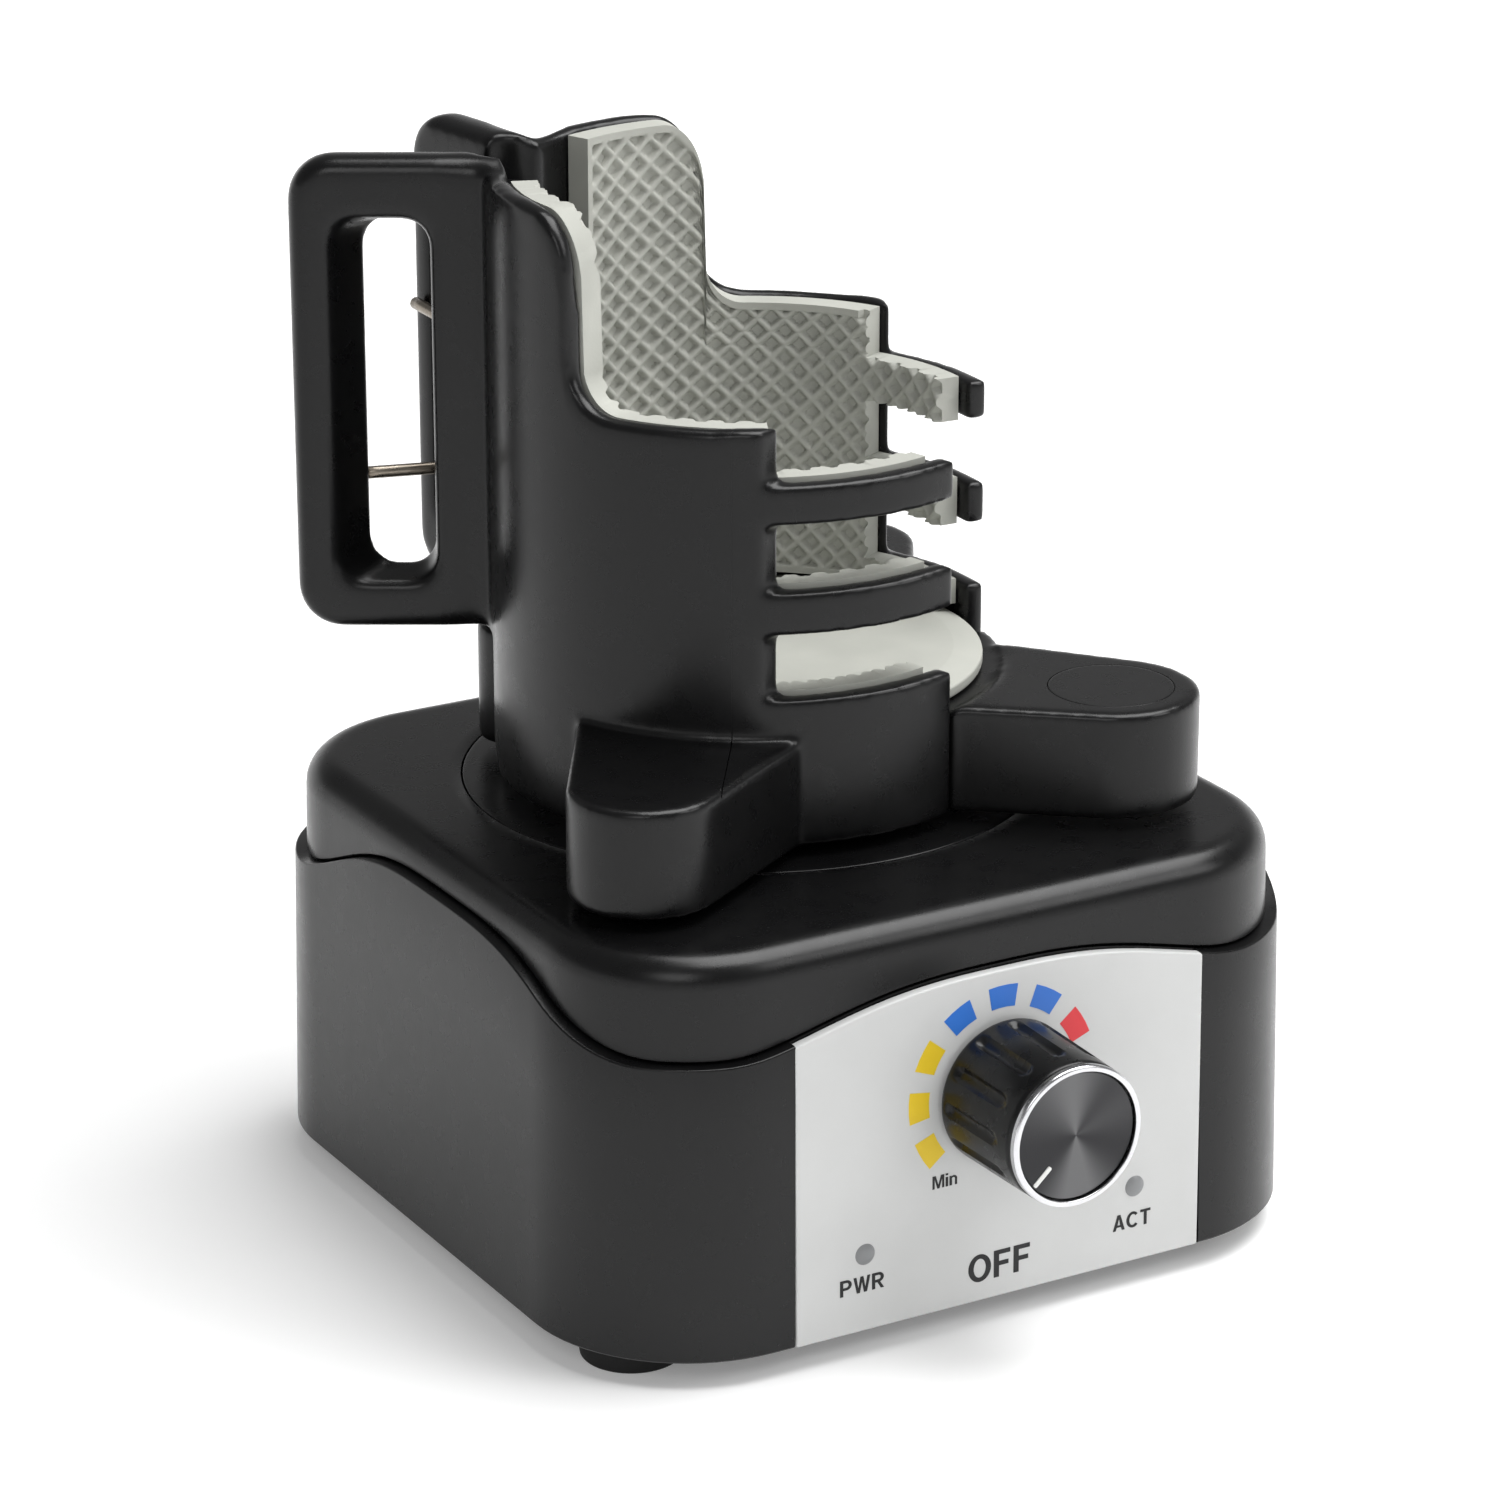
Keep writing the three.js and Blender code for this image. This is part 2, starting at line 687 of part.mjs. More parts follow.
function knobBody() {
  const front = KNOB_FRONT - RIM_DEPTH - GAP;
  const profile = [
    [0, KNOB_CAVITY_END],
    [KNOB_CAVITY, KNOB_CAVITY_END],
    [KNOB_CAVITY, KNOB_BACK],
    [KNOB_RADIUS, KNOB_BACK],
    [KNOB_RADIUS, front],
    [0, front],
  ];
  const flutes = [];
  for (let i = 0; i < KNOB_FLUTES; i += 1) {
    const at = polar(KNOB_RADIUS + FLUTE_RADIUS / 2, (360 * i) / KNOB_FLUTES);
    flutes.push(rod(FLUTE_RADIUS, KNOB_CAVITY_END, KNOB_FRONT - KNOB_CAVITY_END, 8, at.x, at.y));
  }
  const bore = rod(POT_SHAFT + GAP, 0, POT_SHAFT_END + GAP, 20);
  return cut(turned(profile, 48), bore, ...flutes);
}

function knob() {
  const front = KNOB_FRONT;
  const back = front - RIM_DEPTH;
  const rimInner = KNOB_RADIUS - GAP - RIM_WIDTH;
  const faceTop = front - RIM_DEPTH / 2;
  const shaft = part("potentiometer_shaft", rod(POT_SHAFT, -POT_DEPTH + 5, POT_SHAFT_END, 20), steel);
  const rim = ring(rimInner, KNOB_RADIUS - GAP, back, front, 48);
  const face = rod(rimInner - GAP, back, faceTop, 48);
  const half = POINTER_WIDTH / 2;
  const line = box(POINTER_START, rimInner - GAP, -half, half, faceTop + GAP, front);
  const pointer = part("knob_pointer", line, white);
  pointer.rotation.z = radians(POINTER_ANGLE);
  return group(
    shaft,
    part("control_knob", knobBody(), blackPlastic),
    part("knob_rim", rim, silver),
    part("knob_face", face, blackPlastic),
    pointer,
  );
}

function dial() {
  const lamps = [lamp("power_lamp", -LAMP_OFFSET), lamp("activity_lamp", LAMP_OFFSET)];
  const holder = group(potentiometer(), knob(), ...lamps);
  holder.position.set(PANEL_X, -BASE_HALF, KNOB_HEIGHT);
  holder.rotation.x = Math.PI / 2;
  return holder;
}

// ---- Drive ----

// A spur gear's outline with straight-sided teeth. One tooth points along the start angle.
function gearShape(teeth, startAngle) {
  const pitchRadius = (GEAR_MODULE * teeth) / 2;
  const rootRadius = pitchRadius - TOOTH_ROOT * GEAR_MODULE;
  const tipRadius = pitchRadius + TOOTH_TIP * GEAR_MODULE;
  const pitchAngle = 360 / teeth;
  const corners = [
    [rootRadius, -ROOT_SHARE],
    [tipRadius, -TIP_SHARE],
    [tipRadius, TIP_SHARE],
    [rootRadius, ROOT_SHARE],
  ];
  const points = [];
  for (let tooth = 0; tooth < teeth; tooth += 1) {
    for (const [radius, share] of corners) {
      points.push(polar(radius, startAngle + (tooth + share) * pitchAngle));
    }
  }
  return new THREE.Shape(points);
}

function bearingTower() {
  const upperEnd = UPPER_BEARING + BEARING_HEIGHT + THROUGH;
  const profile = [
    [TOWER_BORE, LOWER_BEARING - GAP],
    [TOWER_BORE, LOWER_BEARING + BEARING_HEIGHT + GAP],
    [TOWER_NECK, LOWER_BEARING + BEARING_HEIGHT + GAP],
    [TOWER_NECK, UPPER_BEARING - GAP],
    [TOWER_BORE, UPPER_BEARING - GAP],
    [TOWER_BORE, upperEnd],
    [TOWER_RADIUS, upperEnd],
    [TOWER_RADIUS, TOWER_FLANGE_TOP],
    [TOWER_FLANGE, TOWER_FLANGE_TOP],
    [TOWER_FLANGE, PLATE_TOP + GAP],
    [TOWER_MOUTH, PLATE_TOP + GAP],
    [TOWER_MOUTH, LOWER_BEARING - GAP],
    [TOWER_BORE, LOWER_BEARING - GAP],
  ];
  return part("bearing_tower", turned(profile, 28), castMetal);
}

function bearing(name, bottom) {
  const body = ring(SPINDLE_RADIUS + GAP, TOWER_BORE - GAP, bottom, bottom + BEARING_HEIGHT, 28);
  return part(name, body, steel);
}

function turntable() {
  const hub = rod(HUB_RADIUS, GEAR_TOP + 2, TABLE_TOP - THROUGH, 28);
  const disc = rod(TABLE_RADIUS, TABLE_BOTTOM, TABLE_TOP, TABLE_SIDES);
  const bore = rod(SPINDLE_RADIUS + GAP, GEAR_TOP, TABLE_BOTTOM, 28);
  const holes = cradleScrewPlaces().map(([x, y]) =>
    rod(SCREW_RADIUS + GAP, GEAR_TOP, TABLE_TOP + THROUGH, 8, x, y),
  );
  return part("turntable_disc", cut(join(hub, disc), bore, ...holes), blackPlastic);
}

function cradleScrewPlaces() {
  return [0, 120, 240].map((angle) => polar(CRADLE_SCREW_CIRCLE, angle).toArray());
}

function cradleScrew([x, y], index) {
  const mesh = screw(`cradle_screw_${index + 1}`, CRADLE_SCREW_LENGTH);
  mesh.position.set(x, y, TABLE_BOTTOM - GAP);
  return mesh;
}

function spindle() {
  return part("spindle", rod(SPINDLE_RADIUS, LOWER_BEARING - 3, TABLE_BOTTOM - GAP, 28), steel);
}

function spindleGear() {
  const wheel = prism(gearShape(GEAR_TEETH, 180), GEAR_BOTTOM, GEAR_TOP);
  return part("spindle_gear", cut(wheel, rod(SPINDLE_RADIUS + GAP, 0, COVER_TOP, 28)), gearPlastic);
}

function pinion() {
  const halfPitch = 180 / PINION_TEETH;
  const wheel = prism(gearShape(PINION_TEETH, halfPitch), GEAR_BOTTOM, GEAR_TOP);
  return group(
    part("drive_pinion", cut(wheel, rod(POT_SHAFT + GAP, 0, COVER_TOP, 16)), steel),
    part("motor_shaft", rod(POT_SHAFT, MOTOR_TOP + GAP, GEAR_TOP, 16), steel),
  );
}

function gearmotor() {
  const bottom = PLATE_TOP + GAP;
  const screwHoles = [-1, 1].map((side) =>
    rod(MOTOR_SCREW.hole, MOTOR_TOP - MOTOR_SCREW.depth, MOTOR_TOP + THROUGH, 12, 0, side * BRACKET.screwAt),
  );
  const can = part("motor_can", rod(CAN_RADIUS, bottom, GEARBOX_FOOT - GAP, 28), steel);
  const box = cut(rod(MOTOR_RADIUS, GEARBOX_FOOT, MOTOR_TOP, 28), ...screwHoles);
  const gearbox = part("motor_gearbox", box, castMetal);
  return group(can, gearbox, motorBracket(), motorScrew(1, 1), motorScrew(2, -1));
}

function motorBracket() {
  const { half, thick, screwAt, post } = BRACKET;
  const bottom = MOTOR_TOP + GAP;
  const plate = box(-half, half, -half, half, bottom, bottom + thick);
  const posts = cornerPoints(half - post, half - post).map(([x, y]) =>
    rod(post, PLATE_TOP + GAP, bottom + thick / 2, 12, x, y),
  );
  const shaftHole = rod(POT_SHAFT + 1, MOTOR_TOP, COVER_TOP, 16);
  const screwHoles = [-screwAt, screwAt].map((y) => rod(MOTOR_SCREW.hole, MOTOR_TOP, COVER_TOP, 12, 0, y));
  return part("motor_bracket", cut(join(plate, ...posts), shaftHole, ...screwHoles), castMetal);
}

function motorScrew(index, side) {
  const { radius, depth, head, headHeight } = MOTOR_SCREW;
  const seat = MOTOR_TOP + BRACKET.thick + 2 * GAP;
  const profile = [
    [0, -depth],
    [radius, -depth],
    [radius, 0],
    [head, 0],
    [head, headHeight],
    [0, headHeight],
  ];
  const mesh = part(`motor_screw_${index}`, turned(profile, 8), steel);
  mesh.position.set(0, side * BRACKET.screwAt, seat);
  return mesh;
}

// ---- Cradle ----

// An arm or lobe in plan: straight sides that leave the round shell and meet a round end tangentially.
function lobeShape({ middle, spread, reach, radius }, side, rootRadius) {
  const end = polar(reach, side * middle);
  const roots = [-1, 1].map((way) => polar(rootRadius, side * middle + way * spread));
  const touch = roots.map((root, i) => {
    const back = root.clone().sub(end);
    const open = Math.acos(radius / back.length());
    return back.angle() + (i === 0 ? open : -open);
  });
  const shape = new THREE.Shape();
  shape.moveTo(roots[0].x, roots[0].y);
  const first = end.clone().add(new THREE.Vector2(radius, 0).rotateAround(new THREE.Vector2(), touch[0]));
  shape.lineTo(first.x, first.y);
  shape.absarc(end.x, end.y, radius, touch[0], touch[1], false);
  shape.lineTo(roots[1].x, roots[1].y);
  const [from, to] = [side * middle + spread, side * middle - spread];
  shape.absarc(0, 0, rootRadius, radians(from), radians(to), true);
  return shape;
}

// A wall round the cradle's axis. Its top may be a function of the angle, and the slant moves the first
// section's inner edge on round, so that the end is bevelled.
function arcWall(inner, outer, angles, side, bottom, top, slant = 0) {
  const sections = angles.map((angle, i) => {
    const height = typeof top === "function" ? top(angle) : top;
    const inside = polar(inner, side * (i === 0 ? angle + slant : angle));
    const outside = polar(outer, side * angle);
    return [
      new THREE.Vector3(inside.x, inside.y, bottom),
      new THREE.Vector3(outside.x, outside.y, bottom),
      new THREE.Vector3(outside.x, outside.y, height),
      new THREE.Vector3(inside.x, inside.y, height),
    ];
  });
  return loft(sections);
}

function steps(from, to, stride) {
  const count = Math.max(1, Math.round((to - from) / stride));
  return Array.from({ length: count + 1 }, (_, i) => from + ((to - from) * i) / count);
}

// The top of a jaw falls from its tall part to its middle part in two rounded corners.
function jawTop(angle) {
  const fall = (share) => 1 - Math.sqrt(1 - share * share);
  if (angle <= CROWN.start) return TALL_TOP;
  if (angle < TALL_END) return TALL_TOP - CROWN.drop * fall((angle - CROWN.start) / (TALL_END - CROWN.start));
  if (angle < DIP.end) return MIDDLE_TOP + DIP.rise * fall((DIP.end - angle) / (DIP.end - TALL_END));
  return MIDDLE_TOP;
}

function onPin(radius, [bottom, top], sides = 20) {
  return rod(radius, bottom, top, sides, PIN.x, PIN.y);
}

// Room round the pin for the other jaw's knuckles.
function knuckleSpace(bottom, top) {
  return onPin(KNUCKLE_RADIUS + KNUCKLE_CLEARANCE, [bottom, top]);
}

// A knuckle and the web that ties it to its jaw's wall.
function knuckle(side, [bottom, top]) {
  const near = polar(SHELL_INNER + GAP, side * (SHELL_START + 1));
  const far = polar(SHELL_OUTER - GAP, side * (SHELL_START + 1));
  const web = new THREE.Shape([
    new THREE.Vector2(PIN.x - 2, 0),
    new THREE.Vector2(PIN.x + 4, 0),
    far,
    near,
  ]);
  return join(onPin(KNUCKLE_RADIUS, [bottom, top]), prism(web, bottom, top));
}

function roundedRing(x0, x1, y0, y1, radius, z) {
  const points = [];
  const middles = [
    [x1 - radius, y1 - radius],
    [x0 + radius, y1 - radius],
    [x0 + radius, y0 + radius],
    [x1 - radius, y0 + radius],
  ];
  middles.forEach(([x, y], corner) => {
    for (let i = 0; i <= 4; i += 1) {
      const at = polar(radius, 90 * corner + 22.5 * i);
      points.push(new THREE.Vector3(x + at.x, y + at.y, z));
    }
  });
  return points;
}

// A handle plate with its slot, drawn flat: x runs out from the jaw, y is the height, z is the thickness
// from the outer face to the inner one. The slot narrows towards the inner face.
function handlePlate({ length, slot, slotInside }) {
  const root = -HANDLE_OVERLAP;
  const plate = loft([
    roundedRing(root - 2 * HANDLE_CORNER, length, HANDLE_BOTTOM, HANDLE_TOP, HANDLE_CORNER, 0),
    roundedRing(root - 2 * HANDLE_CORNER, length, HANDLE_BOTTOM, HANDLE_TOP, HANDLE_CORNER, HANDLE_THICK),
  ]);
  const rootCut = box(-6 * HANDLE_CORNER, root, 0, 2 * HANDLE_TOP, -THROUGH, HANDLE_THICK + THROUGH);
  const grow = THROUGH / HANDLE_THICK;
  const beyond = (from, to) => from.map((value, i) => value + (value - to[i]) * grow);
  const hole = loft([
    roundedRing(...beyond(slot, slotInside), SLOT_CORNER, -THROUGH),
    roundedRing(...beyond(slotInside, slot), SLOT_CORNER, HANDLE_THICK + THROUGH),
  ]);
  return cut(plate, rootCut, hole);
}

// Stands the plate up on its jaw: the outer face leaves the shell at the handle's root, at the given heading.
function handle(side, design) {
  const root = polar(SHELL_OUTER, side * HANDLE_ROOT);
  const out = polar(1, design.heading);
  const outward = new THREE.Vector3(out.x, out.y, 0);
  const upward = new THREE.Vector3(0, 0, 1);
  const across = new THREE.Vector3().crossVectors(outward, upward);
  const stand = new THREE.Matrix4().makeBasis(outward, upward, across).setPosition(root.x, root.y, 0);
  const plate = toGeometry(handlePlate(design));
  if (side < 0) plate.scale(1, 1, -1);
  return toSolid(plate.applyMatrix4(stand));
}

function windowCutters(inner, outer, start, tip, side, heights) {
  const angles = steps(start, tip + 3, 8);
  return heights.map(([bottom, top]) => arcWall(inner, outer, angles, side, bottom, top, WINDOW_BEVEL));
}

function jaw(side, tip, design, ownKnuckles, clearances) {
  const shell = (angles, top) => arcWall(SHELL_INNER, SHELL_OUTER, angles, side, CRADLE_BOTTOM, top);
  const wall = shell(JAW_ANGLES, jawTop);
  const fingers = shell(steps(WINDOW_START - 1, tip, JAW_STRIDE), FINGER_TOP);
  const corner = shell([WINDOW_START - 1, WINDOW_START + 2], MIDDLE_TOP);
  const windows = windowCutters(SHELL_INNER - 1, SHELL_OUTER + 1, WINDOW_START, tip, side, WINDOWS);
  const lobe = prism(lobeShape(LOBE, side, SHELL_INNER + 1), CRADLE_BOTTOM, ARM_TOP);
  const whole = join(wall, corner, fingers, lobe, handle(side, design));
  const cleared = cut(whole, ...windows, knuckleSpace(CRADLE_BOTTOM - THROUGH, HANDLE_TOP + THROUGH));
  const knuckles = ownKnuckles.map((heights) => knuckle(side, heights));
  const bores = onPin(PIN_RADIUS + GAP, [CRADLE_BOTTOM, HANDLE_TOP]);
  return cut(join(cleared, ...knuckles), bores, ...clearances);
}

function linerTop(angle) {
  return jawTop(angle) - LINER_SINK;
}

function liner(side, tip) {
  const [inner, outer] = [LINER_INNER, SHELL_INNER - GAP];
  const angles = [LINER_START, ...JAW_ANGLES.filter((angle) => angle > LINER_START + 1)];
  const wall = arcWall(inner, outer, angles, side, LINER_BOTTOM, linerTop);
  const stripAngles = steps(WINDOW_START - 1, tip - 4, JAW_STRIDE);
  const strips = arcWall(inner, outer, stripAngles, side, LINER_BOTTOM, FINGER_TOP + STRIP_PROUD);
  const heights = WINDOWS.map(([bottom, top]) => [bottom + STRIP_PROUD, top - STRIP_PROUD]);
  const cutters = windowCutters(inner - 1, outer + 1, WINDOW_START + 2, tip, side, heights);
  return cut(join(wall, strips), ...cutters);
}

function carrier() {
  const skin = PEDESTAL_SKIN;
  const pedestal = rod(PEDESTAL_RADIUS, CRADLE_BOTTOM, PEDESTAL_TOP, 44);
  const core = rod(CORE_RADIUS, TABLE_TOP + GAP, CRADLE_BOTTOM + 1, 32);
  const arm = prism(lobeShape(ARM, 1, SHELL_OUTER - 1), CRADLE_BOTTOM, ARM_TOP);
  const backEdge = 360 - REAR_TIP - 1.5;
  const bridgeAngles = steps(FRONT_TIP + 1.2, backEdge, JAW_STRIDE);
  const [near, far] = [CORE_RADIUS + BRIDGE_IN, SHELL_OUTER - 0.4];
  const bridge = arcWall(near, far, bridgeAngles, 1, CRADLE_BOTTOM, PEDESTAL_TOP);
  const ear = onPin(KNUCKLE_RADIUS, [CRADLE_BOTTOM, EAR_TOP]);
  const groove = ring(CORE_RADIUS, PEDESTAL_RADIUS - skin, TABLE_TOP - 1, PEDESTAL_TOP - skin, 32);
  const inArm = { ...ARM, radius: ARM.radius - skin, spread: ARM.spread - 5 };
  const armPocket = prism(lobeShape(inArm, 1, SHELL_OUTER - 1), TABLE_TOP, ARM_TOP - skin - 1);
  const capAt = polar(ARM.reach, ARM.middle);
  const capSeat = ARM_TOP - ARM_CAP_THICK - GAP;
  const capRecess = rod(ARM_CAP_RADIUS + GAP, capSeat, ARM_TOP + THROUGH, 40, capAt.x, capAt.y);
  const pinHole = onPin(PIN_RADIUS + GAP, [PIN_FOOT - GAP, EAR_TOP + 1]);
  const screwHoles = cradleScrewPlaces().map((place) => {
    const [x, y] = turnedPoint(place, -HINGE_ANGLE);
    return rod(SCREW_RADIUS + GAP, TABLE_TOP - 1, TABLE_BOTTOM + CRADLE_SCREW_LENGTH + 1, 8, x, y);
  });
  const body = cut(join(pedestal, core, arm, bridge), groove, armPocket);
  return part("cradle_carrier", cut(join(body, ear), capRecess, pinHole, ...screwHoles), blackPlastic);
}

function armCap() {
  const cap = part("arm_cap", rod(ARM_CAP_RADIUS, ARM_TOP - ARM_CAP_THICK, ARM_TOP, 40), blackPlastic);
  const at = polar(ARM.reach, ARM.middle);
  cap.position.set(at.x, at.y, 0);
  return cap;
}

// The pad a jar stands on. Its rim slopes down under the jaws' liners.
function floorPad() {
  const bottom = PEDESTAL_TOP + GAP;
  const top = bottom + PAD_THICK;
  const profile = [
    [0, bottom],
    [PEDESTAL_RADIUS, bottom],
    [PEDESTAL_RADIUS, top - PAD_RIM],
    [LINER_INNER - 1, top],
    [0, top],
  ];
  const earHole = onPin(KNUCKLE_RADIUS + GAP, [bottom - THROUGH, top + THROUGH]);
  return part("floor_pad", cut(turned(profile, 44), earHole), greyRubber);
}

function hingePin() {
  const profile = [
    [0, 0],
    [PIN_CAP_RADIUS, 0],
    [PIN_CAP_RADIUS, PIN_CAP_HEIGHT / 2],
    [PIN_CAP_SOCKET, PIN_CAP_HEIGHT - 0.6],
    [0, PIN_CAP_HEIGHT],
  ];
  const pinTop = PIN_HEAD + PIN_CAP_SOCKET - 0.5;
  const pin = part("hinge_pin", onPin(PIN_RADIUS, [PIN_FOOT, pinTop], 20), steel);
  const socket = rod(PIN_RADIUS + GAP, -THROUGH, PIN_CAP_SOCKET);
  const cap = part("pin_cap", cut(turned(profile, 20), socket), blackPlastic);
  cap.position.set(PIN.x, PIN.y, PIN_HEAD);
  return group(pin, cap);
}

// A torsion spring on the pin: a straight leg, a coil that climbs, and a second straight leg. Each leg leaves
// the coil along its tangent.
function torsionSpring(name, { bottom, low, high }) {
  const perTurn = 9;
  const startAngle = low.heading + 90;
  const endAngle = high.heading - 90;
  const sweep = SPRING_TURNS * 360 + ((((endAngle - startAngle) % 360) + 360) % 360);
  const count = Math.round((sweep / 360) * perTurn);
  const points = [];
  const rise = SPRING_PITCH / 360;
  const onCoil = (angle) => {
    const at = polar(SPRING_RADIUS, startAngle + angle).add(PIN);
    return new THREE.Vector3(at.x, at.y, bottom + rise * angle);
  };
  const away = (from, heading, length) => {
    const to = polar(length, heading);
    return new THREE.Vector3(from.x + to.x, from.y + to.y, from.z);
  };
  points.push(away(onCoil(0), low.heading, low.length));
  points.push(away(onCoil(0), low.heading, low.length / 2));
  for (let i = 0; i <= count; i += 1) points.push(onCoil((sweep * i) / count));
  points.push(away(onCoil(sweep), high.heading, high.length / 2));
  points.push(away(onCoil(sweep), high.heading, high.length));
  const path = new THREE.CatmullRomCurve3(points, false, "centripetal");
  const section = new THREE.Shape(Array.from({ length: 5 }, (_, i) => polar(SPRING_WIRE, 72 * i)));
  const wire = new THREE.ExtrudeGeometry(section, { steps: count + 10, extrudePath: path });
  return part(name, toSolid(wire), springSteel);
}

function jaws() {
  const around = 0.2;
  const behind = (heights) => heights.map(([bottom, top]) => knuckleSpace(bottom - around, top + around));
  const front = jaw(1, FRONT_TIP, FRONT_HANDLE, FRONT_KNUCKLES, behind(REAR_KNUCKLES));
  const rear = jaw(-1, REAR_TIP, REAR_HANDLE, REAR_KNUCKLES, behind(FRONT_KNUCKLES));
  return [
    part("front_jaw", front, blackPlastic),
    part("rear_jaw", rear, blackPlastic),
    part("front_jaw_pad", liner(1, FRONT_TIP), greyRubber),
    part("rear_jaw_pad", liner(-1, REAR_TIP), greyRubber),
  ];
}

function cradle() {
  const springs = [
    torsionSpring("lower_torsion_spring", LOWER_SPRING),
    torsionSpring("upper_torsion_spring", UPPER_SPRING),
  ];
  const holder = group(carrier(), armCap(), floorPad(), hingePin(), ...jaws(), ...springs);
  holder.rotation.z = radians(HINGE_ANGLE);
  return holder;
}

function rotor() {
  const screws = cradleScrewPlaces().map(cradleScrew);
  const holder = group(turntable(), spindle(), spindleGear(), ...screws, cradle());
  holder.position.set(CRADLE_X, CRADLE_Y, 0);
  return holder;
}

function drive() {
  const motor = group(gearmotor(), pinion());
  motor.position.x = -MOTOR_DISTANCE;
  const holder = group(
    bearingTower(),
    bearing("lower_bearing", LOWER_BEARING),
    bearing("upper_bearing", UPPER_BEARING),
    motor,
  );
  holder.position.set(CRADLE_X, CRADLE_Y, 0);
  return holder;
}

function base() {
  const indices = [0, 1, 2, 3];
  return group(
    part("base_housing", baseHousing(), blackPlastic),
    part("top_cover", topCover(), blackPlastic),
    part("bottom_plate", bottomPlate(), blackPlastic),
    part("front_panel", frontPanel(), greyPanel),
    ...indices.map(foot),
    ...indices.map(caseScrew),
    powerInlet(),
    controlBoard(),
    dial(),
  );
}

const jarTurner = group(base(), drive(), rotor());
jarTurner.position.y = BASE_CENTRE_Y;

export default jarTurner;
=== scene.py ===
import json
import math

import bmesh
import bpy
import numpy as np
from mathutils import Matrix, Vector


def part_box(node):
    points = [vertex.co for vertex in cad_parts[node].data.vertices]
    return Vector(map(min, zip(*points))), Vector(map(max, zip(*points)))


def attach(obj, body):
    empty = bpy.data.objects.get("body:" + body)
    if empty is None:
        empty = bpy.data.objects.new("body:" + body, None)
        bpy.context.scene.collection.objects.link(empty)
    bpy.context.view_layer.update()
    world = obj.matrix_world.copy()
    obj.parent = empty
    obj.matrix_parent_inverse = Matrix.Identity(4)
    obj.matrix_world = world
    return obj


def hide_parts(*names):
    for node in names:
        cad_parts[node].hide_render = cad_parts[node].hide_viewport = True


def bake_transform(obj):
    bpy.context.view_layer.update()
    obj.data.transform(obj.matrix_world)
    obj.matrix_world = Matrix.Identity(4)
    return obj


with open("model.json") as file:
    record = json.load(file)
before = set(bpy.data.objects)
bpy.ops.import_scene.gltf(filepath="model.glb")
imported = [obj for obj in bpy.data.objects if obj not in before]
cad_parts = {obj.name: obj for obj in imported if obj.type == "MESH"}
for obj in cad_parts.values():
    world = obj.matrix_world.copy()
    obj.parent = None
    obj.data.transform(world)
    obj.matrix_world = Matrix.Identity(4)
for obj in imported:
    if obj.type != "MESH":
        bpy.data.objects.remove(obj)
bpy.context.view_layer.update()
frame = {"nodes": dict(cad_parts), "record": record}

MM = 0.001

# ---- Measures in millimetres, as in the CAD ----


def centre_of(node):
    low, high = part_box(node)
    return (low + high) / 2 / MM


def span_of(node):
    """A node's bottom and top."""
    low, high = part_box(node)
    return low.z / MM, high.z / MM


BASE = centre_of("base_housing")
AXIS = centre_of("turntable_disc")
PIN = centre_of("hinge_pin")
TABLE_BOTTOM, TABLE_TOP = span_of("turntable_disc")

BASE_HALF = 75
BASE_CORNER = 30.5
BASE_BOTTOM = 5
DRAFT = 0.017
CASE_WALL = 4.2
SEAM_LOW = 59.5
FRONT_HUMP = {"rise": 7.5, "middle": 2, "reach": 56, "shape": 1.4}
SIDE_HUMP = {"rise": 12.3, "middle": -7, "reach": 60, "shape": 1.7}
COVER_INSET = 2.2
COVER_SHOULDER = 5.5
TABLE_RADIUS = 53

PANEL_X = 1.7
PANEL_HALF = 41.8
PANEL_THICK = 2
LAMP_OFFSET = 28
LAMP_HEIGHT = 19.5
LAMP_RADIUS = 2.2
MARK_INNER, MARK_OUTER, MARK_HALF_ANGLE = 15.1, 19.2, 9.0
KNOB_HEIGHT = 44.7
KNOB_RADIUS = 13.4
KNOB_FRONT = 23.5
KNOB_FLUTES = 12
POINTER_ANGLE = 222.5
INLET_X = 36
INLET_HEIGHT = 24

HINGE_ANGLE = 135
HINGE_RADIUS = 45
CRADLE_BOTTOM = 80
ARM_TOP = 100
PEDESTAL_RADIUS, PEDESTAL_TOP = 42.3, 99
PLUG_RADIUS, PLUG_THICK = 11.35, 0.9
SHELL_OUTER = 47
SHELL_INNER = 43
LINER_INNER = 38
LINER_BOTTOM = 103.2
LINER_START = 24
LINER_SINK = 0.7
LINER_WINDOWS = [(108, 118.8), (127.7, 138.7)]
LINER_BORDER = 1.8
RIDGE_PITCH, RIDGE_HALF, RIDGE_DEPTH = 3.6, 0.75, 1.3
SHELL_START = 12
HANDLE_ROOT = 15
TALL_END = 62
CROWN = {"start": 50, "drop": 13}
DIP = {"end": 73, "rise": 9}
TOP_ANGLES = [30, 50, 52, 54, 56, 58, 60, 61, 61.9, 62, 62.5, 63, 64, 66, 68, 70, 73, 107]  # samples of that line
WINDOW_START = 107
WINDOW_BEVEL = 5
FRONT_TIP = 154.5
REAR_TIP = 142
TALL_TOP = 191
MIDDLE_TOP = 156.5
FINGER_TOP = 146.5
WINDOWS = [(107.5, 119.3), (127.2, 139.2)]
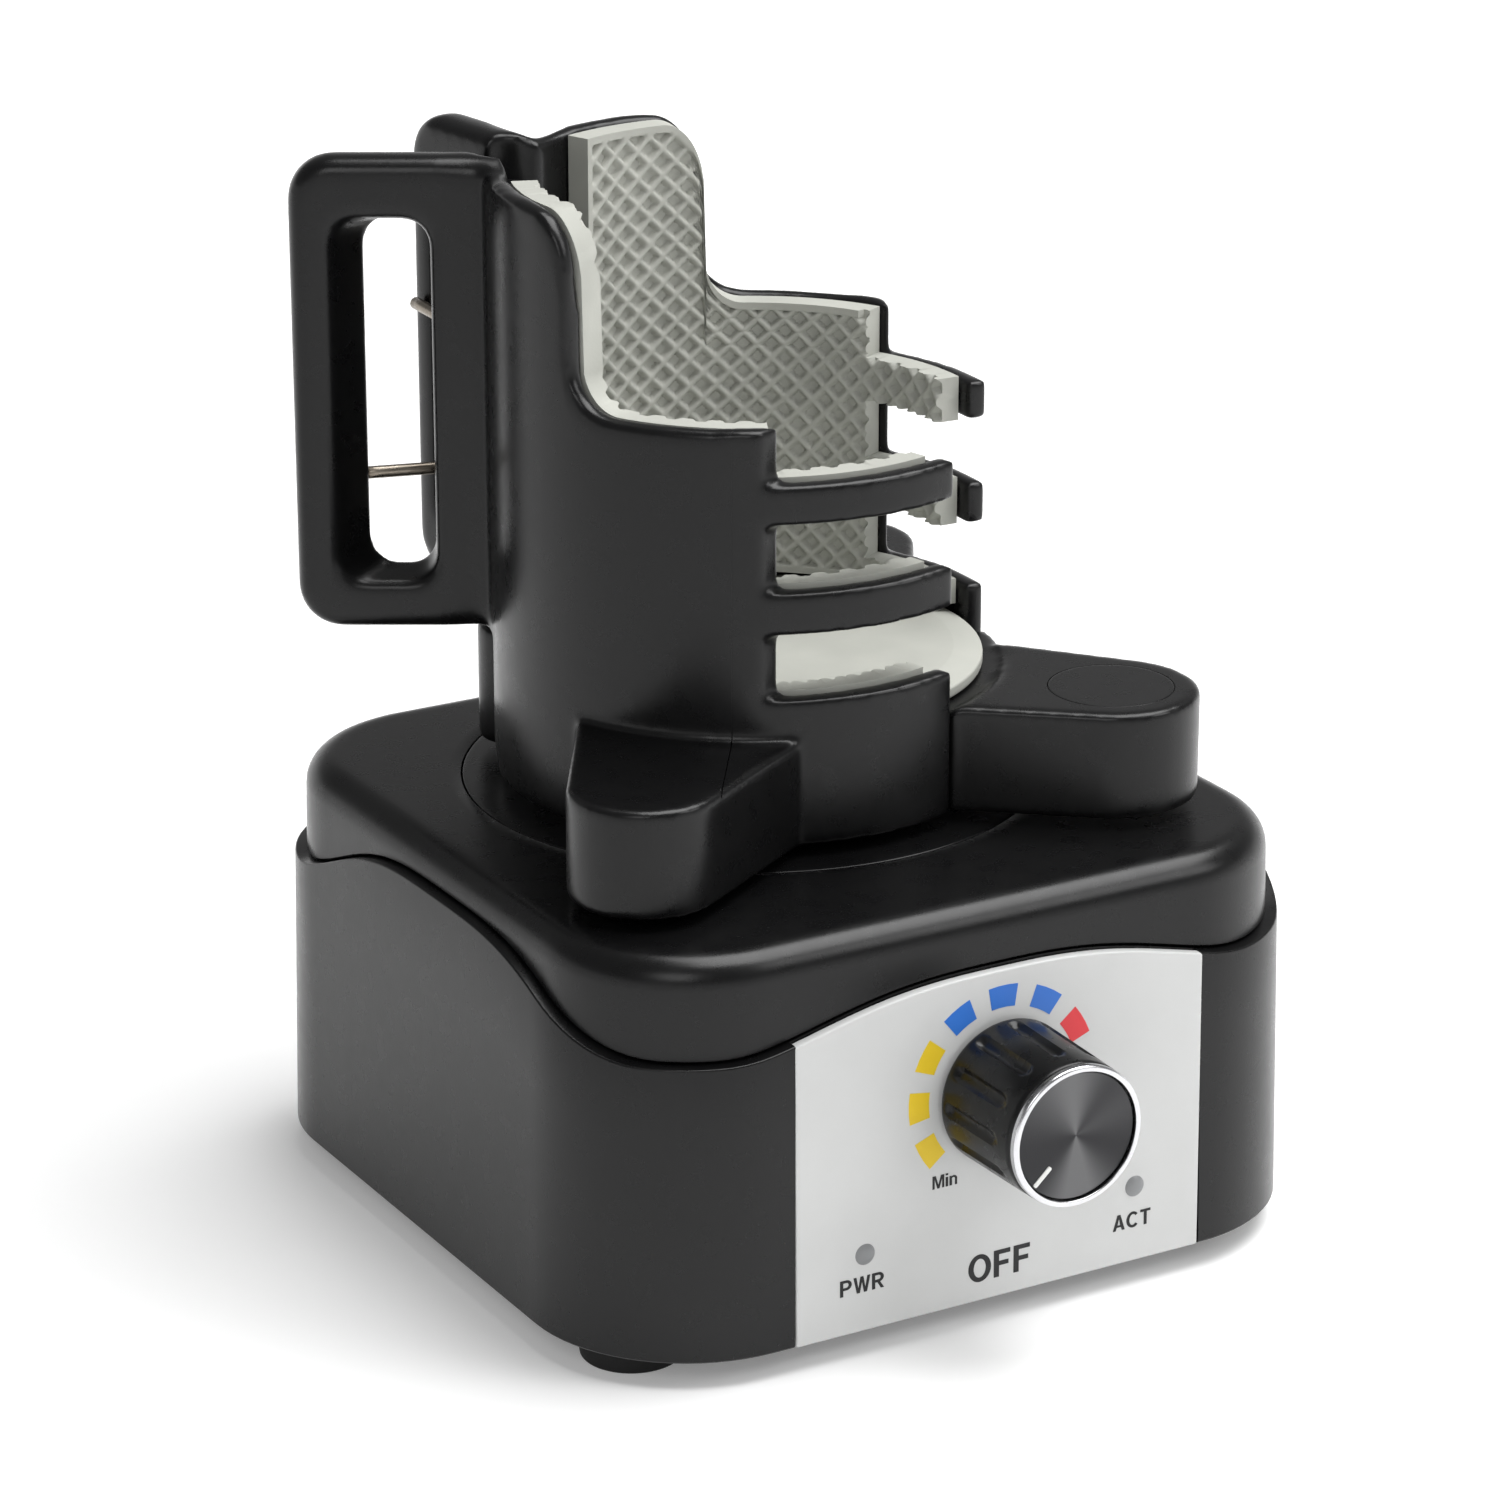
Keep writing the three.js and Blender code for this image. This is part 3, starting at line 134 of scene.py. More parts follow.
# The front jaw's moulding line.
PARTING = {"angle": 101, "half_width": 0.09, "wall_depth": 0.06, "lobe_depth": 0.07}
HANDLE_BOTTOM = 104.5
HANDLE_TOP = 192.5
HANDLE_THICK = 9
LOBE = {"middle": 90, "spread": 29, "reach": 70.4, "radius": 13.5}
ARM = {"middle": 180, "spread": 24, "reach": 67, "radius": 16}
FRONT_HANDLE = {
    "heading": 15,
    "length": 35.4,
    "slot": (10, 28.4, 113.4, 181.7),
    "inside": (10.5, 21.5, 115.5, 180),
}
REAR_HANDLE = {
    "heading": -36.5,
    "length": 25,
    "slot": (7, 19, 113.4, 181.7),
    "inside": (7.5, 18, 115.5, 180),
}
KNUCKLE_RADIUS = 7
THROUGH = (60, 220)  # from below the cradle to above it
REAR_KNUCKLES = [(103.2, 110), (133.5, 143), (171.4, 175)]
FRONT_KNUCKLES = [(110.4, 117), (143.4, 153), (175.4, 179)]
PIN_RADIUS = 2.5
PIN_HEAD = 179.4
EAR_TOP = 102.6
SPRING_WIRE = 1.15
SPRING_RADIUS = 5.6
SPRING_TURNS = 3
SPRING_PITCH = 3.2
OPEN_SWING = 40  # between the two jaws, from closed to fully open
LEG_ROOM = 1.9  # from a leg's middle
# Each spring's height, and its two legs' headings and lengths.
LOWER_SPRING = (119.3, (-55, 13), (29, 27))
LOWER_SPRING_TOP = 131.2
UPPER_SPRING = (157, (-46, 28), (60, 6.8))

VOXEL = 0.65  # size of the remeshed skin of the moulded parts
SMOOTH = 32  # edges sharper than this, in degrees, are drawn sharp
SOFT_PASSES = 70  # extra smoothing where a moulded part's edges are roundest

# ---- Materials ----

NOISE_MIDDLE = (0.3, 0.7)  # the range that most of a noise's values lie in


def shader_of(material):
    return material.node_tree.nodes["Principled BSDF"]


def new_material(name, color, roughness, metallic=0.0, **sockets):
    material = bpy.data.materials.new(name)
    material.use_nodes = True
    shader = shader_of(material)
    shader.inputs["Base Color"].default_value = (*color, 1)
    shader.inputs["Roughness"].default_value = roughness
    shader.inputs["Metallic"].default_value = metallic
    for socket, value in sockets.items():
        shader.inputs[socket.replace("_", " ")].default_value = value
    return material


def add_node(tree, kind, **settings):
    node = tree.nodes.new(kind)
    for key, value in settings.items():
        if key in node.inputs:
            node.inputs[key].default_value = value
        else:
            setattr(node, key, value)
    return node


def place_in(tree, space="Object"):
    return add_node(tree, "ShaderNodeTexCoord").outputs[space]


def noise(tree, scale, detail=2.0, stretch=None):
    coordinates = place_in(tree)
    if stretch:
        mapping = add_node(tree, "ShaderNodeMapping", Scale=stretch)
        tree.links.new(coordinates, mapping.inputs["Vector"])
        coordinates = mapping.outputs["Vector"]
    texture = add_node(tree, "ShaderNodeTexNoise", Scale=scale, Detail=detail)
    tree.links.new(coordinates, texture.inputs["Vector"])
    return texture.outputs["Fac"]


def map_range(tree, source, start, end, low, high):
    """Values from start to end mapped to low to high, and held beyond them."""
    node = add_node(tree, "ShaderNodeMapRange")
    for socket, value in (("From Min", start), ("From Max", end), ("To Min", low), ("To Max", high)):
        node.inputs[socket].default_value = value
    tree.links.new(source, node.inputs["Value"])
    return node.outputs["Result"]


def calculate(tree, operation, *values, kind="ShaderNodeMath"):
    """A math node's result. Each value is a number, a vector or another node's output."""
    node = add_node(tree, kind, operation=operation)
    for socket, value in zip(node.inputs, values):
        if isinstance(value, bpy.types.NodeSocket):
            tree.links.new(value, socket)
        else:
            socket.default_value = value
    return node.outputs["Value" if operation in ("LENGTH", "DISTANCE") else 0]


def set_roughness(material, scale, low, high, stretch=None):
    tree = material.node_tree
    value = map_range(tree, noise(tree, scale, 3.0, stretch), *NOISE_MIDDLE, low, high)
    tree.links.new(value, shader_of(material).inputs["Roughness"])


def set_color(material, share, first, second):
    """A base colour between two others."""
    tree = material.node_tree
    mix = add_node(tree, "ShaderNodeMix", data_type="RGBA")
    colors = [socket for socket in mix.inputs if socket.type == "RGBA"]
    colors[0].default_value = (*first, 1)
    colors[1].default_value = (*second, 1)
    tree.links.new(share, mix.inputs[0])
    result = [socket for socket in mix.outputs if socket.type == "RGBA"][0]
    tree.links.new(result, shader_of(material).inputs["Base Color"])


def mottle(material, scale, first, second):
    tree = material.node_tree
    set_color(material, map_range(tree, noise(tree, scale, 4.0), *NOISE_MIDDLE, 0, 1), first, second)


def set_bump(material, height, depth, strength=1.0):
    """Bump from a height of 0 to 1; depth is in metres."""
    tree = material.node_tree
    bump = add_node(tree, "ShaderNodeBump", Strength=strength, Distance=depth)
    tree.links.new(height, bump.inputs["Height"])
    tree.links.new(bump.outputs["Normal"], shader_of(material).inputs["Normal"])


def moulded(name, dark, light, roughness, specular, scale=2600, depth=0.00003):
    material = new_material(name, dark, roughness, Specular_IOR_Level=specular)
    mottle(material, 60, dark, light)
    set_roughness(material, 240, roughness - 0.02, roughness + 0.03)
    set_bump(material, noise(material.node_tree, scale), depth, 0.4)
    return material


def metal(name, dark, light, roughness, stretch=None, scale=900):
    material = new_material(name, dark, roughness, 1.0)
    mottle(material, 150, dark, light)
    set_roughness(material, scale, roughness - 0.06, roughness + 0.08, stretch)
    set_bump(material, noise(material.node_tree, scale, stretch=stretch), 0.00001, 0.4)
    return material


SLOTS = {
    "black_plastic": moulded("black_plastic", (0.0033, 0.0033, 0.0036), (0.0046, 0.0046, 0.0048), 0.28, 0.32),
    "grey_panel": moulded("grey_panel", (0.57, 0.575, 0.57), (0.6, 0.605, 0.6), 0.42, 0.4, 3200, 0.00001),
    "grey_rubber": moulded("grey_rubber", (0.40, 0.405, 0.37), (0.46, 0.465, 0.425), 0.72, 0.25, 1800, 0.00004),
    "black_rubber": moulded("black_rubber", (0.008,) * 3, (0.014,) * 3, 0.72, 0.25, 1500, 0.00005),
    "steel": metal("steel", (0.50, 0.50, 0.51), (0.60, 0.60, 0.61), 0.28, (1, 1, 12)),
    "spring_steel": metal("spring_steel", (0.20, 0.17, 0.135), (0.34, 0.30, 0.25), 0.30),
    "cast_metal": metal("cast_metal", (0.34, 0.35, 0.36), (0.42, 0.43, 0.44), 0.45, None, 500),
    "gear_plastic": moulded("gear_plastic", (0.72, 0.69, 0.60), (0.78, 0.75, 0.66), 0.45, 0.4),
    "board_green": moulded("board_green", (0.015, 0.11, 0.04), (0.025, 0.15, 0.06), 0.35, 0.5),
    "lamp_grey": moulded("lamp_grey", (0.20, 0.205, 0.21), (0.24, 0.245, 0.25), 0.30, 0.5, 1500, 0.00001),
    "silver": metal("silver", (0.62, 0.62, 0.64), (0.72, 0.72, 0.74), 0.2, (1, 12, 1)),
    "white": moulded("white", (0.74, 0.74, 0.72), (0.80, 0.80, 0.78), 0.45, 0.4),
}
INK = moulded("ink", (0.012, 0.012, 0.013), (0.018, 0.018, 0.019), 0.5, 0.3, 3000, 0.00001)
MARK_COLORS = {
    "yellow": moulded("mark_yellow", (0.74, 0.52, 0.02), (0.80, 0.57, 0.03), 0.45, 0.35, 3000, 0.00001),
    "blue": moulded("mark_blue", (0.03, 0.16, 0.60), (0.04, 0.19, 0.66), 0.45, 0.35, 3000, 0.00001),
    "red": moulded("mark_red", (0.70, 0.035, 0.05), (0.78, 0.05, 0.06), 0.45, 0.35, 3000, 0.00001),
}


def spun_face_with_painted_highlights():
    """Dark turned metal: concentric lines round the piece's own Z axis, and painted highlights: bright bands in the
    base colour that spread out from the axis like spokes.
    """
    material = new_material("spun_black_painted_highlights", (0.05, 0.05, 0.052), 0.3, 1.0)
    tree = material.node_tree
    coordinates = place_in(tree)
    axes = add_node(tree, "ShaderNodeSeparateXYZ")
    tree.links.new(coordinates, axes.inputs["Vector"])
    angle = calculate(tree, "ARCTAN2", axes.outputs["Y"], axes.outputs["X"])

    def painted_highlight_wave(count, heading, sharpness):
        """A wave of so many painted highlight bands round the axis, from 0 to 1."""
        turned = calculate(tree, "MULTIPLY_ADD", angle, count, -count * math.radians(heading))
        level = map_range(tree, calculate(tree, "COSINE", turned), -1, 1, 0, 1)
        return calculate(tree, "POWER", level, sharpness)

    # The two waves together are painted highlights: they lighten the base colour where the metal would mirror the
    # lights.
    both = calculate(tree, "MULTIPLY_ADD", painted_highlight_wave(3, 20, 2.0), 0.25, painted_highlight_wave(2, 96, 3.5))
    set_color(material, both, (0.038, 0.038, 0.040), (0.135, 0.135, 0.138))
    flat = calculate(tree, "MULTIPLY", coordinates, (1, 1, 0), kind="ShaderNodeVectorMath")
    lines = add_node(tree, "ShaderNodeTexNoise", Scale=4200, Detail=3.0)
    lines.noise_dimensions = "1D"
    tree.links.new(calculate(tree, "LENGTH", flat, kind="ShaderNodeVectorMath"), lines.inputs["W"])
    set_bump(material, lines.outputs["Fac"], 0.00003, 0.5)
    return material


# ---- Mesh tools ----


def add_object(name, data):
    thing = bpy.data.objects.new(name, data)
    bpy.context.scene.collection.objects.link(thing)
    return thing


def clean(mesh, weld=True):
    """Welds a mesh's equal points and turns its faces outwards."""
    work = bmesh.new()
    work.from_mesh(mesh)
    if weld:
        bmesh.ops.remove_doubles(work, verts=work.verts, dist=1e-7)
    bmesh.ops.recalc_face_normals(work, faces=work.faces)
    work.to_mesh(mesh)
    work.free()


def to_object(name, points, faces):
    mesh = bpy.data.meshes.new(name)
    mesh.from_pydata([Vector(p) * MM for p in points], [], faces)
    clean(mesh)
    return add_object(name, mesh)


def shift(x, y, z):
    return Matrix.Translation(Vector((x, y, z)) * MM)


def smooth_shade(piece, angle):
    mesh = piece.data
    mesh.polygons.foreach_set("use_smooth", [True] * len(mesh.polygons))
    mesh.set_sharp_from_angle(angle=math.radians(angle))


def finish_piece(piece, body, slot, *nodes, material=None, smooth=SMOOTH):
    """Gives a piece its shading, its material (the slot's, unless another is given) and its body, and hides the CAD
    nodes it stands for.
    """
    if smooth:
        smooth_shade(piece, smooth)
    piece.data.materials.clear()
    piece.data.materials.append(material or SLOTS[slot])
    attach(piece, body)
    if nodes:
        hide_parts(*nodes)
    return piece


def loft(rings, closed=False):
    """Points and faces of a skin over rings of equal size, with flat ends unless it is closed."""
    size = len(rings[0])
    points = [p for ring in rings for p in ring]
    faces = []
    for i in range(len(rings) if closed else len(rings) - 1):
        here, there = i * size, (i + 1) % len(rings) * size
        for j in range(size):
            k = (j + 1) % size
            faces.append((here + j, here + k, there + k, there + j))
    if not closed:
        last = (len(rings) - 1) * size
        faces.append(tuple(reversed(range(size))))
        faces.append(tuple(range(last, last + size)))
    return points, faces


def lathe(name, profile, sides, centre=(0, 0, 0)):
    """A solid turned about Z from a closed profile of (radius, height)."""
    rings = []
    for i in range(sides):
        angle = 2 * math.pi * i / sides
        rings.append([Vector((r * math.cos(angle), r * math.sin(angle), z)) + Vector(centre) for r, z in profile])
    return to_object(name, *loft(rings, closed=True))


def rounded(corners, steps=5):
    """A polyline through corners (x, y, radius), each rounded by its radius."""
    points = []
    count = len(corners)
    for i, (x, y, radius) in enumerate(corners):
        here = Vector((x, y))
        if radius <= 0:
            points.append((x, y))
            continue
        back = (Vector(corners[i - 1][:2]) - here).normalized()
        on = (Vector(corners[(i + 1) % count][:2]) - here).normalized()
        half = math.acos(max(-1, min(1, back.dot(on)))) / 2
        reach = radius / math.tan(half)
        middle = here + (back + on).normalized() * radius / math.sin(half)
        start, end = here + back * reach - middle, here + on * reach - middle
        turn = start.angle_signed(end)
        for k in range(steps + 1):
            part = -turn * k / steps
            c, s = math.cos(part), math.sin(part)
            points.append((middle.x + start.x * c - start.y * s, middle.y + start.x * s + start.y * c))
    return points


def prism(outline, bottom, top, name="prism"):
    return to_object(name, *loft([[Vector((p[0], p[1], z)) for p in outline] for z in (bottom, top)]))


def cylinder(name, radius, bottom, top, sides, centre=(0, 0, 0)):
    return lathe(name, [(0, bottom), (radius, bottom), (radius, top), (0, top)], sides, centre)


def turned(name, corners, sides, centre=(0, 0, 0), steps=4):
    """A solid turned about Z from corners (radius, height, rounding)."""
    return lathe(name, rounded(corners, steps), sides, centre)


def evaluated(piece):
    """The piece with its modifiers applied."""
    graph = bpy.context.evaluated_depsgraph_get()
    mesh = bpy.data.meshes.new_from_object(piece.evaluated_get(graph))
    piece.modifiers.clear()
    old = piece.data
    piece.data = mesh
    bpy.data.meshes.remove(old)
    return piece


def cut(piece, *cutters):
    for cutter in cutters:
        modifier = piece.modifiers.new("cut", "BOOLEAN")
        modifier.operation = "DIFFERENCE"
        modifier.solver = "EXACT"
        modifier.object = cutter
        bpy.context.view_layer.update()
        evaluated(piece)
        bpy.data.objects.remove(cutter)
    return piece


def merged(name, pieces):
    """One object holding the meshes of several."""
    work = bmesh.new()
    for piece in pieces:
        work.from_mesh(piece.data)
        bpy.data.objects.remove(piece)
    mesh = bpy.data.meshes.new(name)
    work.to_mesh(mesh)
    work.free()
    return add_object(name, mesh)


def smoothed(piece, passes, group=""):
    modifier = piece.modifiers.new("smooth", "SMOOTH")
    modifier.factor = 0.5
    modifier.iterations = passes
    modifier.vertex_group = group
    evaluated(piece)


def moulded_skin(name, pieces, passes=16, soft=None):
    """Fuses overlapping solids into one skin and rounds its edges, as moulding does. Where soft says so, more."""
    whole = merged(name, pieces)
    remesh = whole.modifiers.new("skin", "REMESH")
    remesh.mode = "VOXEL"
    remesh.voxel_size = VOXEL * MM
    evaluated(whole)
    smoothed(whole, passes)
    if soft:
        places = np.empty(len(whole.data.vertices) * 3)
        whole.data.vertices.foreach_get("co", places)
        weights = soft(places.reshape(-1, 3) / MM)
        chosen = whole.vertex_groups.new(name="soft")
        for index in np.nonzero(weights > 0.01)[0]:
            chosen.add([int(index)], float(weights[index]), "REPLACE")
        smoothed(whole, SOFT_PASSES, "soft")
        whole.vertex_groups.clear()
    return whole


# ---- Casing ----

CASE_EDGE = 0.35
CASE_GAP = 0.3
SLIVER = 0.02
FACE_FRONT = Matrix.Rotation(math.pi / 2, 4, "X")
FACE_BACK = Matrix.Rotation(-math.pi / 2, 4, "X")


def hump(shape, along):
    share = min(abs((along - shape["middle"]) / shape["reach"]), 1)
    return shape["rise"] * math.cos(math.pi / 2 * share ** shape["shape"]) ** 2


def seam_height(x, y):
    on_front = abs(y) > abs(x)
    return SEAM_LOW + (hump(FRONT_HUMP, x) if on_front else hump(SIDE_HUMP, y))


def height_at(height, x, y):
    return height(x, y) if callable(height) else height


def raised(height, rise):
    return lambda x, y: height(x, y) + rise


def between(low, high, share):
    return lambda x, y: height_at(low, x, y) + share * (height_at(high, x, y) - height_at(low, x, y))


def casing_outline(inset, notch=None):
    """The casing's outline about its own middle. A notch (left, right, depth) sets the front wall back."""
    radius = BASE_CORNER - inset
    middle = BASE_HALF - BASE_CORNER
    side_steps, corner_steps = 44, 18
    points = []
    for corner in range(4):
        turn = Matrix.Rotation(math.radians(90 * corner), 2)
        for i in range(side_steps):
            points.append(turn @ Vector((middle + radius, -middle + 2 * middle * i / side_steps)))
        for i in range(corner_steps):
            angle = math.radians(90 * i / corner_steps)
            points.append(turn @ Vector((middle + radius * math.cos(angle), middle + radius * math.sin(angle))))
    if not notch:
        return points
    left, right, depth = notch
    front, back = -BASE_HALF + inset, max(depth - inset * 0.4, SLIVER)
    points = [p for p in points if p.y > 0 or min(abs(p.x - left), abs(p.x - right)) >= 1.2]
    points = [Vector((p.x, p.y + back)) if p.y < -50 and left < p.x < right else p for p in points]
    for side, corners in (
        (left, [Vector((left, front)), Vector((left + SLIVER, front + back))]),
        (right, [Vector((right - SLIVER, front + back)), Vector((right, front))]),
    ):
        at = next(i for i, p in enumerate(points) if p.y < -60 and p.x > side)
        points[at:at] = corners
    return points


def casing_ring(inset, height, notch=None):
    """The outline at a height, which may be a function of the place on it."""
    ring = []
    for p in casing_outline(inset, notch):
        z = height_at(height, p.x, p.y)
        lean = 1 - DRAFT * (z - BASE_BOTTOM) / BASE_HALF
        ring.append(Vector((BASE.x + p.x * lean, BASE.y + p.y * lean, z)))
    return ring


def front_face(z):
    """y of the casing's front wall at a height."""
    return BASE.y - BASE_HALF + DRAFT * (z - BASE_BOTTOM)


def facing_front(piece, x, z):
    """Turns a piece made along +Z to face out of the casing's front, on the dial's plane."""
    piece.data.transform(shift(BASE.x + x, BASE.y - BASE_HALF, z) @ FACE_FRONT)


def facing_back(piece):
    """Turns a piece made along +Z to face out of the casing's back, at the power inlet."""
    piece.data.transform(shift(BASE.x + INLET_X, BASE.y + BASE_HALF, INLET_HEIGHT) @ FACE_BACK)


def base_housing():
    edge = CASE_EDGE
    notch = (PANEL_X - PANEL_HALF - CASE_GAP, PANEL_X + PANEL_HALF + CASE_GAP, PANEL_THICK + CASE_GAP)
    rings = [casing_ring(edge, BASE_BOTTOM, notch), casing_ring(0, BASE_BOTTOM + edge, notch)]
    for share in (0.25, 0.5, 0.75):
        rings.append(casing_ring(0, between(BASE_BOTTOM, seam_height, share), notch))
    for angle in (0, 30, 60, 90):
        turn = math.radians(angle)
        height = raised(seam_height, edge * (math.sin(turn) - 1))
        rings.append(casing_ring(edge * (1 - math.cos(turn)), height, notch))
    rings.append(casing_ring(CASE_WALL - edge, seam_height, notch))
    rings.append(casing_ring(CASE_WALL, raised(seam_height, -edge), notch))
    rings.append(casing_ring(CASE_WALL, BASE_BOTTOM, notch))
    housing = to_object("housing", *loft(rings, closed=True))
    for radius, depth in ((5.8, 12), (7.8, 1.8)):
        drill = lathe("drill", [(0, -depth), (radius, -depth), (radius, 3), (0, 3)], 48)
        facing_back(drill)
        cut(housing, drill)
    finish_piece(housing, "base_body", "black_plastic", "base_housing")


def top_cover():
    top, shoulder, edge = TABLE_TOP, COVER_SHOULDER, CASE_EDGE
    well, well_floor, under = TABLE_RADIUS + CASE_GAP, TABLE_TOP - 6, TABLE_TOP - 8.5
    inner = COVER_INSET + CASE_WALL
    rim = raised(seam_height, CASE_GAP)
    steps = 9

    def circle(radius, z):
        ring = []
        for p in casing_outline(COVER_INSET):
            toward = Vector((BASE.x + p.x - AXIS.x, BASE.y + p.y - AXIS.y)).normalized()
            ring.append(Vector((AXIS.x + toward.x * radius, AXIS.y + toward.y * radius, z)))
        return ring

    foot = top - shoulder
    rings = [casing_ring(COVER_INSET + edge, rim), casing_ring(COVER_INSET, raised(rim, edge))]
    for share in (0.33, 0.66):
        rings.append(casing_ring(COVER_INSET, between(raised(rim, edge), foot, share)))
    for i in range(steps + 1):
        turn = math.radians(90 * i / steps)
        rings.append(casing_ring(COVER_INSET + shoulder * (1 - math.cos(turn)), foot + shoulder * math.sin(turn)))
    rings.append(casing_ring(COVER_INSET + shoulder + 1.5, top))
    for radius, z in (
        (well + 2.5, top), (well + 0.2, top), (well + 0.06, top - 0.06), (well, top - 0.2), (well, well_floor),
        (16, well_floor), (16, under), (well + 3, under), (well + 3, top - 3),
    ):
        rings.append(circle(radius, z))
    for inset, height in ((inner + shoulder, top - 3), (inner + 1, top - 4), (inner, rim)):
        rings.append(casing_ring(inset, height))
    cover = to_object("cover", *loft(rings, closed=True))
    finish_piece(cover, "base_body", "black_plastic", "top_cover")


def on_panel(u, v, lift):
    """A point drawn on the panel, in mm from the casing's middle and the ground."""
    return Vector((BASE.x + u, front_face(v) - 0.1 - lift, v))


def front_panel():
    columns = 72
    sections = []
    for i in range(columns + 1):
        x = PANEL_X - PANEL_HALF + 2 * PANEL_HALF * i / columns
        top = seam_height(x, -BASE_HALF) - CASE_GAP
        corners = ((BASE_BOTTOM, 0), (BASE_BOTTOM, PANEL_THICK), (top, PANEL_THICK), (top, 0))
        sections.append([on_panel(x, z, -depth) for z, depth in corners])
    panel = to_object("panel", *loft(sections))
    bevel = panel.modifiers.new("edge", "BEVEL")
    bevel.width = CASE_EDGE * MM
    bevel.segments = 3
    bevel.angle_limit = math.radians(40)
    evaluated(panel)
    finish_piece(panel, "base_body", "grey_panel", "front_panel")


def printed(name, outline, material):
    """A thin printed patch on the panel from an outline of (u, v)."""
    rings = [[on_panel(u, v, lift) for u, v in outline] for lift in (0.005, 0.05)]
    patch = to_object(name, *loft(rings))
    finish_piece(patch, "base_body", "grey_panel", material=material, smooth=None)


def dial_marks():
    for index, color in enumerate(["yellow"] * 3 + ["blue"] * 3 + ["red"]):
        outline = []
        for radius, turns in ((MARK_INNER, (-1, -0.33, 0.33, 1)), (MARK_OUTER, (1, 0.33, -0.33, -1))):
            for turn in turns:
                at = math.radians(210 - 30 * index + MARK_HALF_ANGLE * turn)
                outline.append((PANEL_X + radius * math.cos(at), KNOB_HEIGHT + radius * math.sin(at)))
        printed(f"dial_mark_{index + 1}", outline, MARK_COLORS[color])


# Letters of height 1: each one's width, and its outlines and holes. STEM and BAR are the strokes' widths.
STEM, BAR = 0.185, 0.165
LETTER_SPACE, LETTER_STRETCH, INK_THICK = 0.1, 1.14, 0.03


def bow(x, y, rx, ry, start, end, count=14):
    """Points along part of an ellipse."""
    turns = [math.radians(start + (end - start) * i / count) for i in range(count + 1)]
    return [(x + rx * math.cos(t), y + ry * math.sin(t)) for t in turns]


LETTERS = {
    "O": (0.80, [bow(0.40, 0.5, 0.40, 0.515, 0, 350, 35), bow(0.40, 0.5, 0.40 - STEM, 0.515 - BAR, 0, 350, 35)]),
    "F": (0.60, [[
        (0, 0), (STEM, 0), (STEM, 0.42), (0.52, 0.42), (0.52, 0.42 + BAR), (STEM, 0.42 + BAR),
        (STEM, 1 - BAR), (0.58, 1 - BAR), (0.58, 1), (0, 1),
    ]]),
    "P": (0.68, [
        [(0, 0), (STEM, 0), (STEM, 0.37), *bow(0.37, 0.685, 0.31, 0.315, -90, 90), (0, 1)],
        [(STEM, 0.37 + BAR), *bow(0.37, 0.685, 0.31 - STEM, 0.315 - BAR, -90, 90), (STEM, 1 - BAR)],
    ]),
    "R": (0.72, [
        [
            (0, 0), (STEM, 0), (STEM, 0.39), (0.31, 0.39), (0.51, 0), (0.70, 0), (0.475, 0.41),
            *bow(0.38, 0.70, 0.31, 0.30, -68, 90), (0, 1),
        ],
        [(STEM, 0.39 + BAR), *bow(0.38, 0.697, 0.31 - STEM, 0.303 - BAR, -90, 90), (STEM, 1 - BAR)],
    ]),
    "W": (0.98, [[
        (0, 1), (0.17, 1), (0.285, 0.30), (0.405, 1), (0.575, 1), (0.695, 0.30), (0.81, 1), (0.98, 1),
        (0.785, 0), (0.61, 0), (0.49, 0.66), (0.37, 0), (0.195, 0),
    ]]),
    "A": (0.74, [
        [(0, 0), (0.175, 0), (0.24, 0.21), (0.50, 0.21), (0.565, 0), (0.74, 0), (0.465, 1), (0.275, 1)],
        [(0.285, 0.345), (0.455, 0.345), (0.37, 0.76)],
    ]),
    "C": (0.76, [[
        *bow(0.40, 0.5, 0.40, 0.515, 42, 318, 30), *bow(0.40, 0.5, 0.40 - STEM, 0.515 - BAR, 318, 42, 30),
    ]]),
    "T": (0.64, [[
        (0.32 - STEM / 2, 0), (0.32 + STEM / 2, 0), (0.32 + STEM / 2, 1 - BAR), (0.64, 1 - BAR), (0.64, 1),
        (0, 1), (0, 1 - BAR), (0.32 - STEM / 2, 1 - BAR),
    ]]),
    "M": (0.86, [[
        (0, 0), (0.155, 0), (0.155, 0.76), (0.35, 0), (0.51, 0), (0.705, 0.76), (0.705, 0), (0.86, 0), (0.86, 1),
        (0.625, 1), (0.43, 0.27), (0.235, 1), (0, 1),
    ]]),
    "i": (STEM, [[(0, 0), (STEM, 0), (STEM, 0.73), (0, 0.73)], [(0, 0.86), (STEM, 0.86), (STEM, 1), (0, 1)]]),
    "n": (0.56, [[
        (0, 0), (STEM, 0), (STEM, 0.43), *bow(0.283, 0.46, 0.118, 0.14, 180, 0, 10), (0.40, 0), (0.56, 0),
        *bow(0.315, 0.49, 0.245, 0.255, 0, 120, 12), (0.15, 0.64), (0.15, 0.73), (0, 0.73),
    ]]),
}


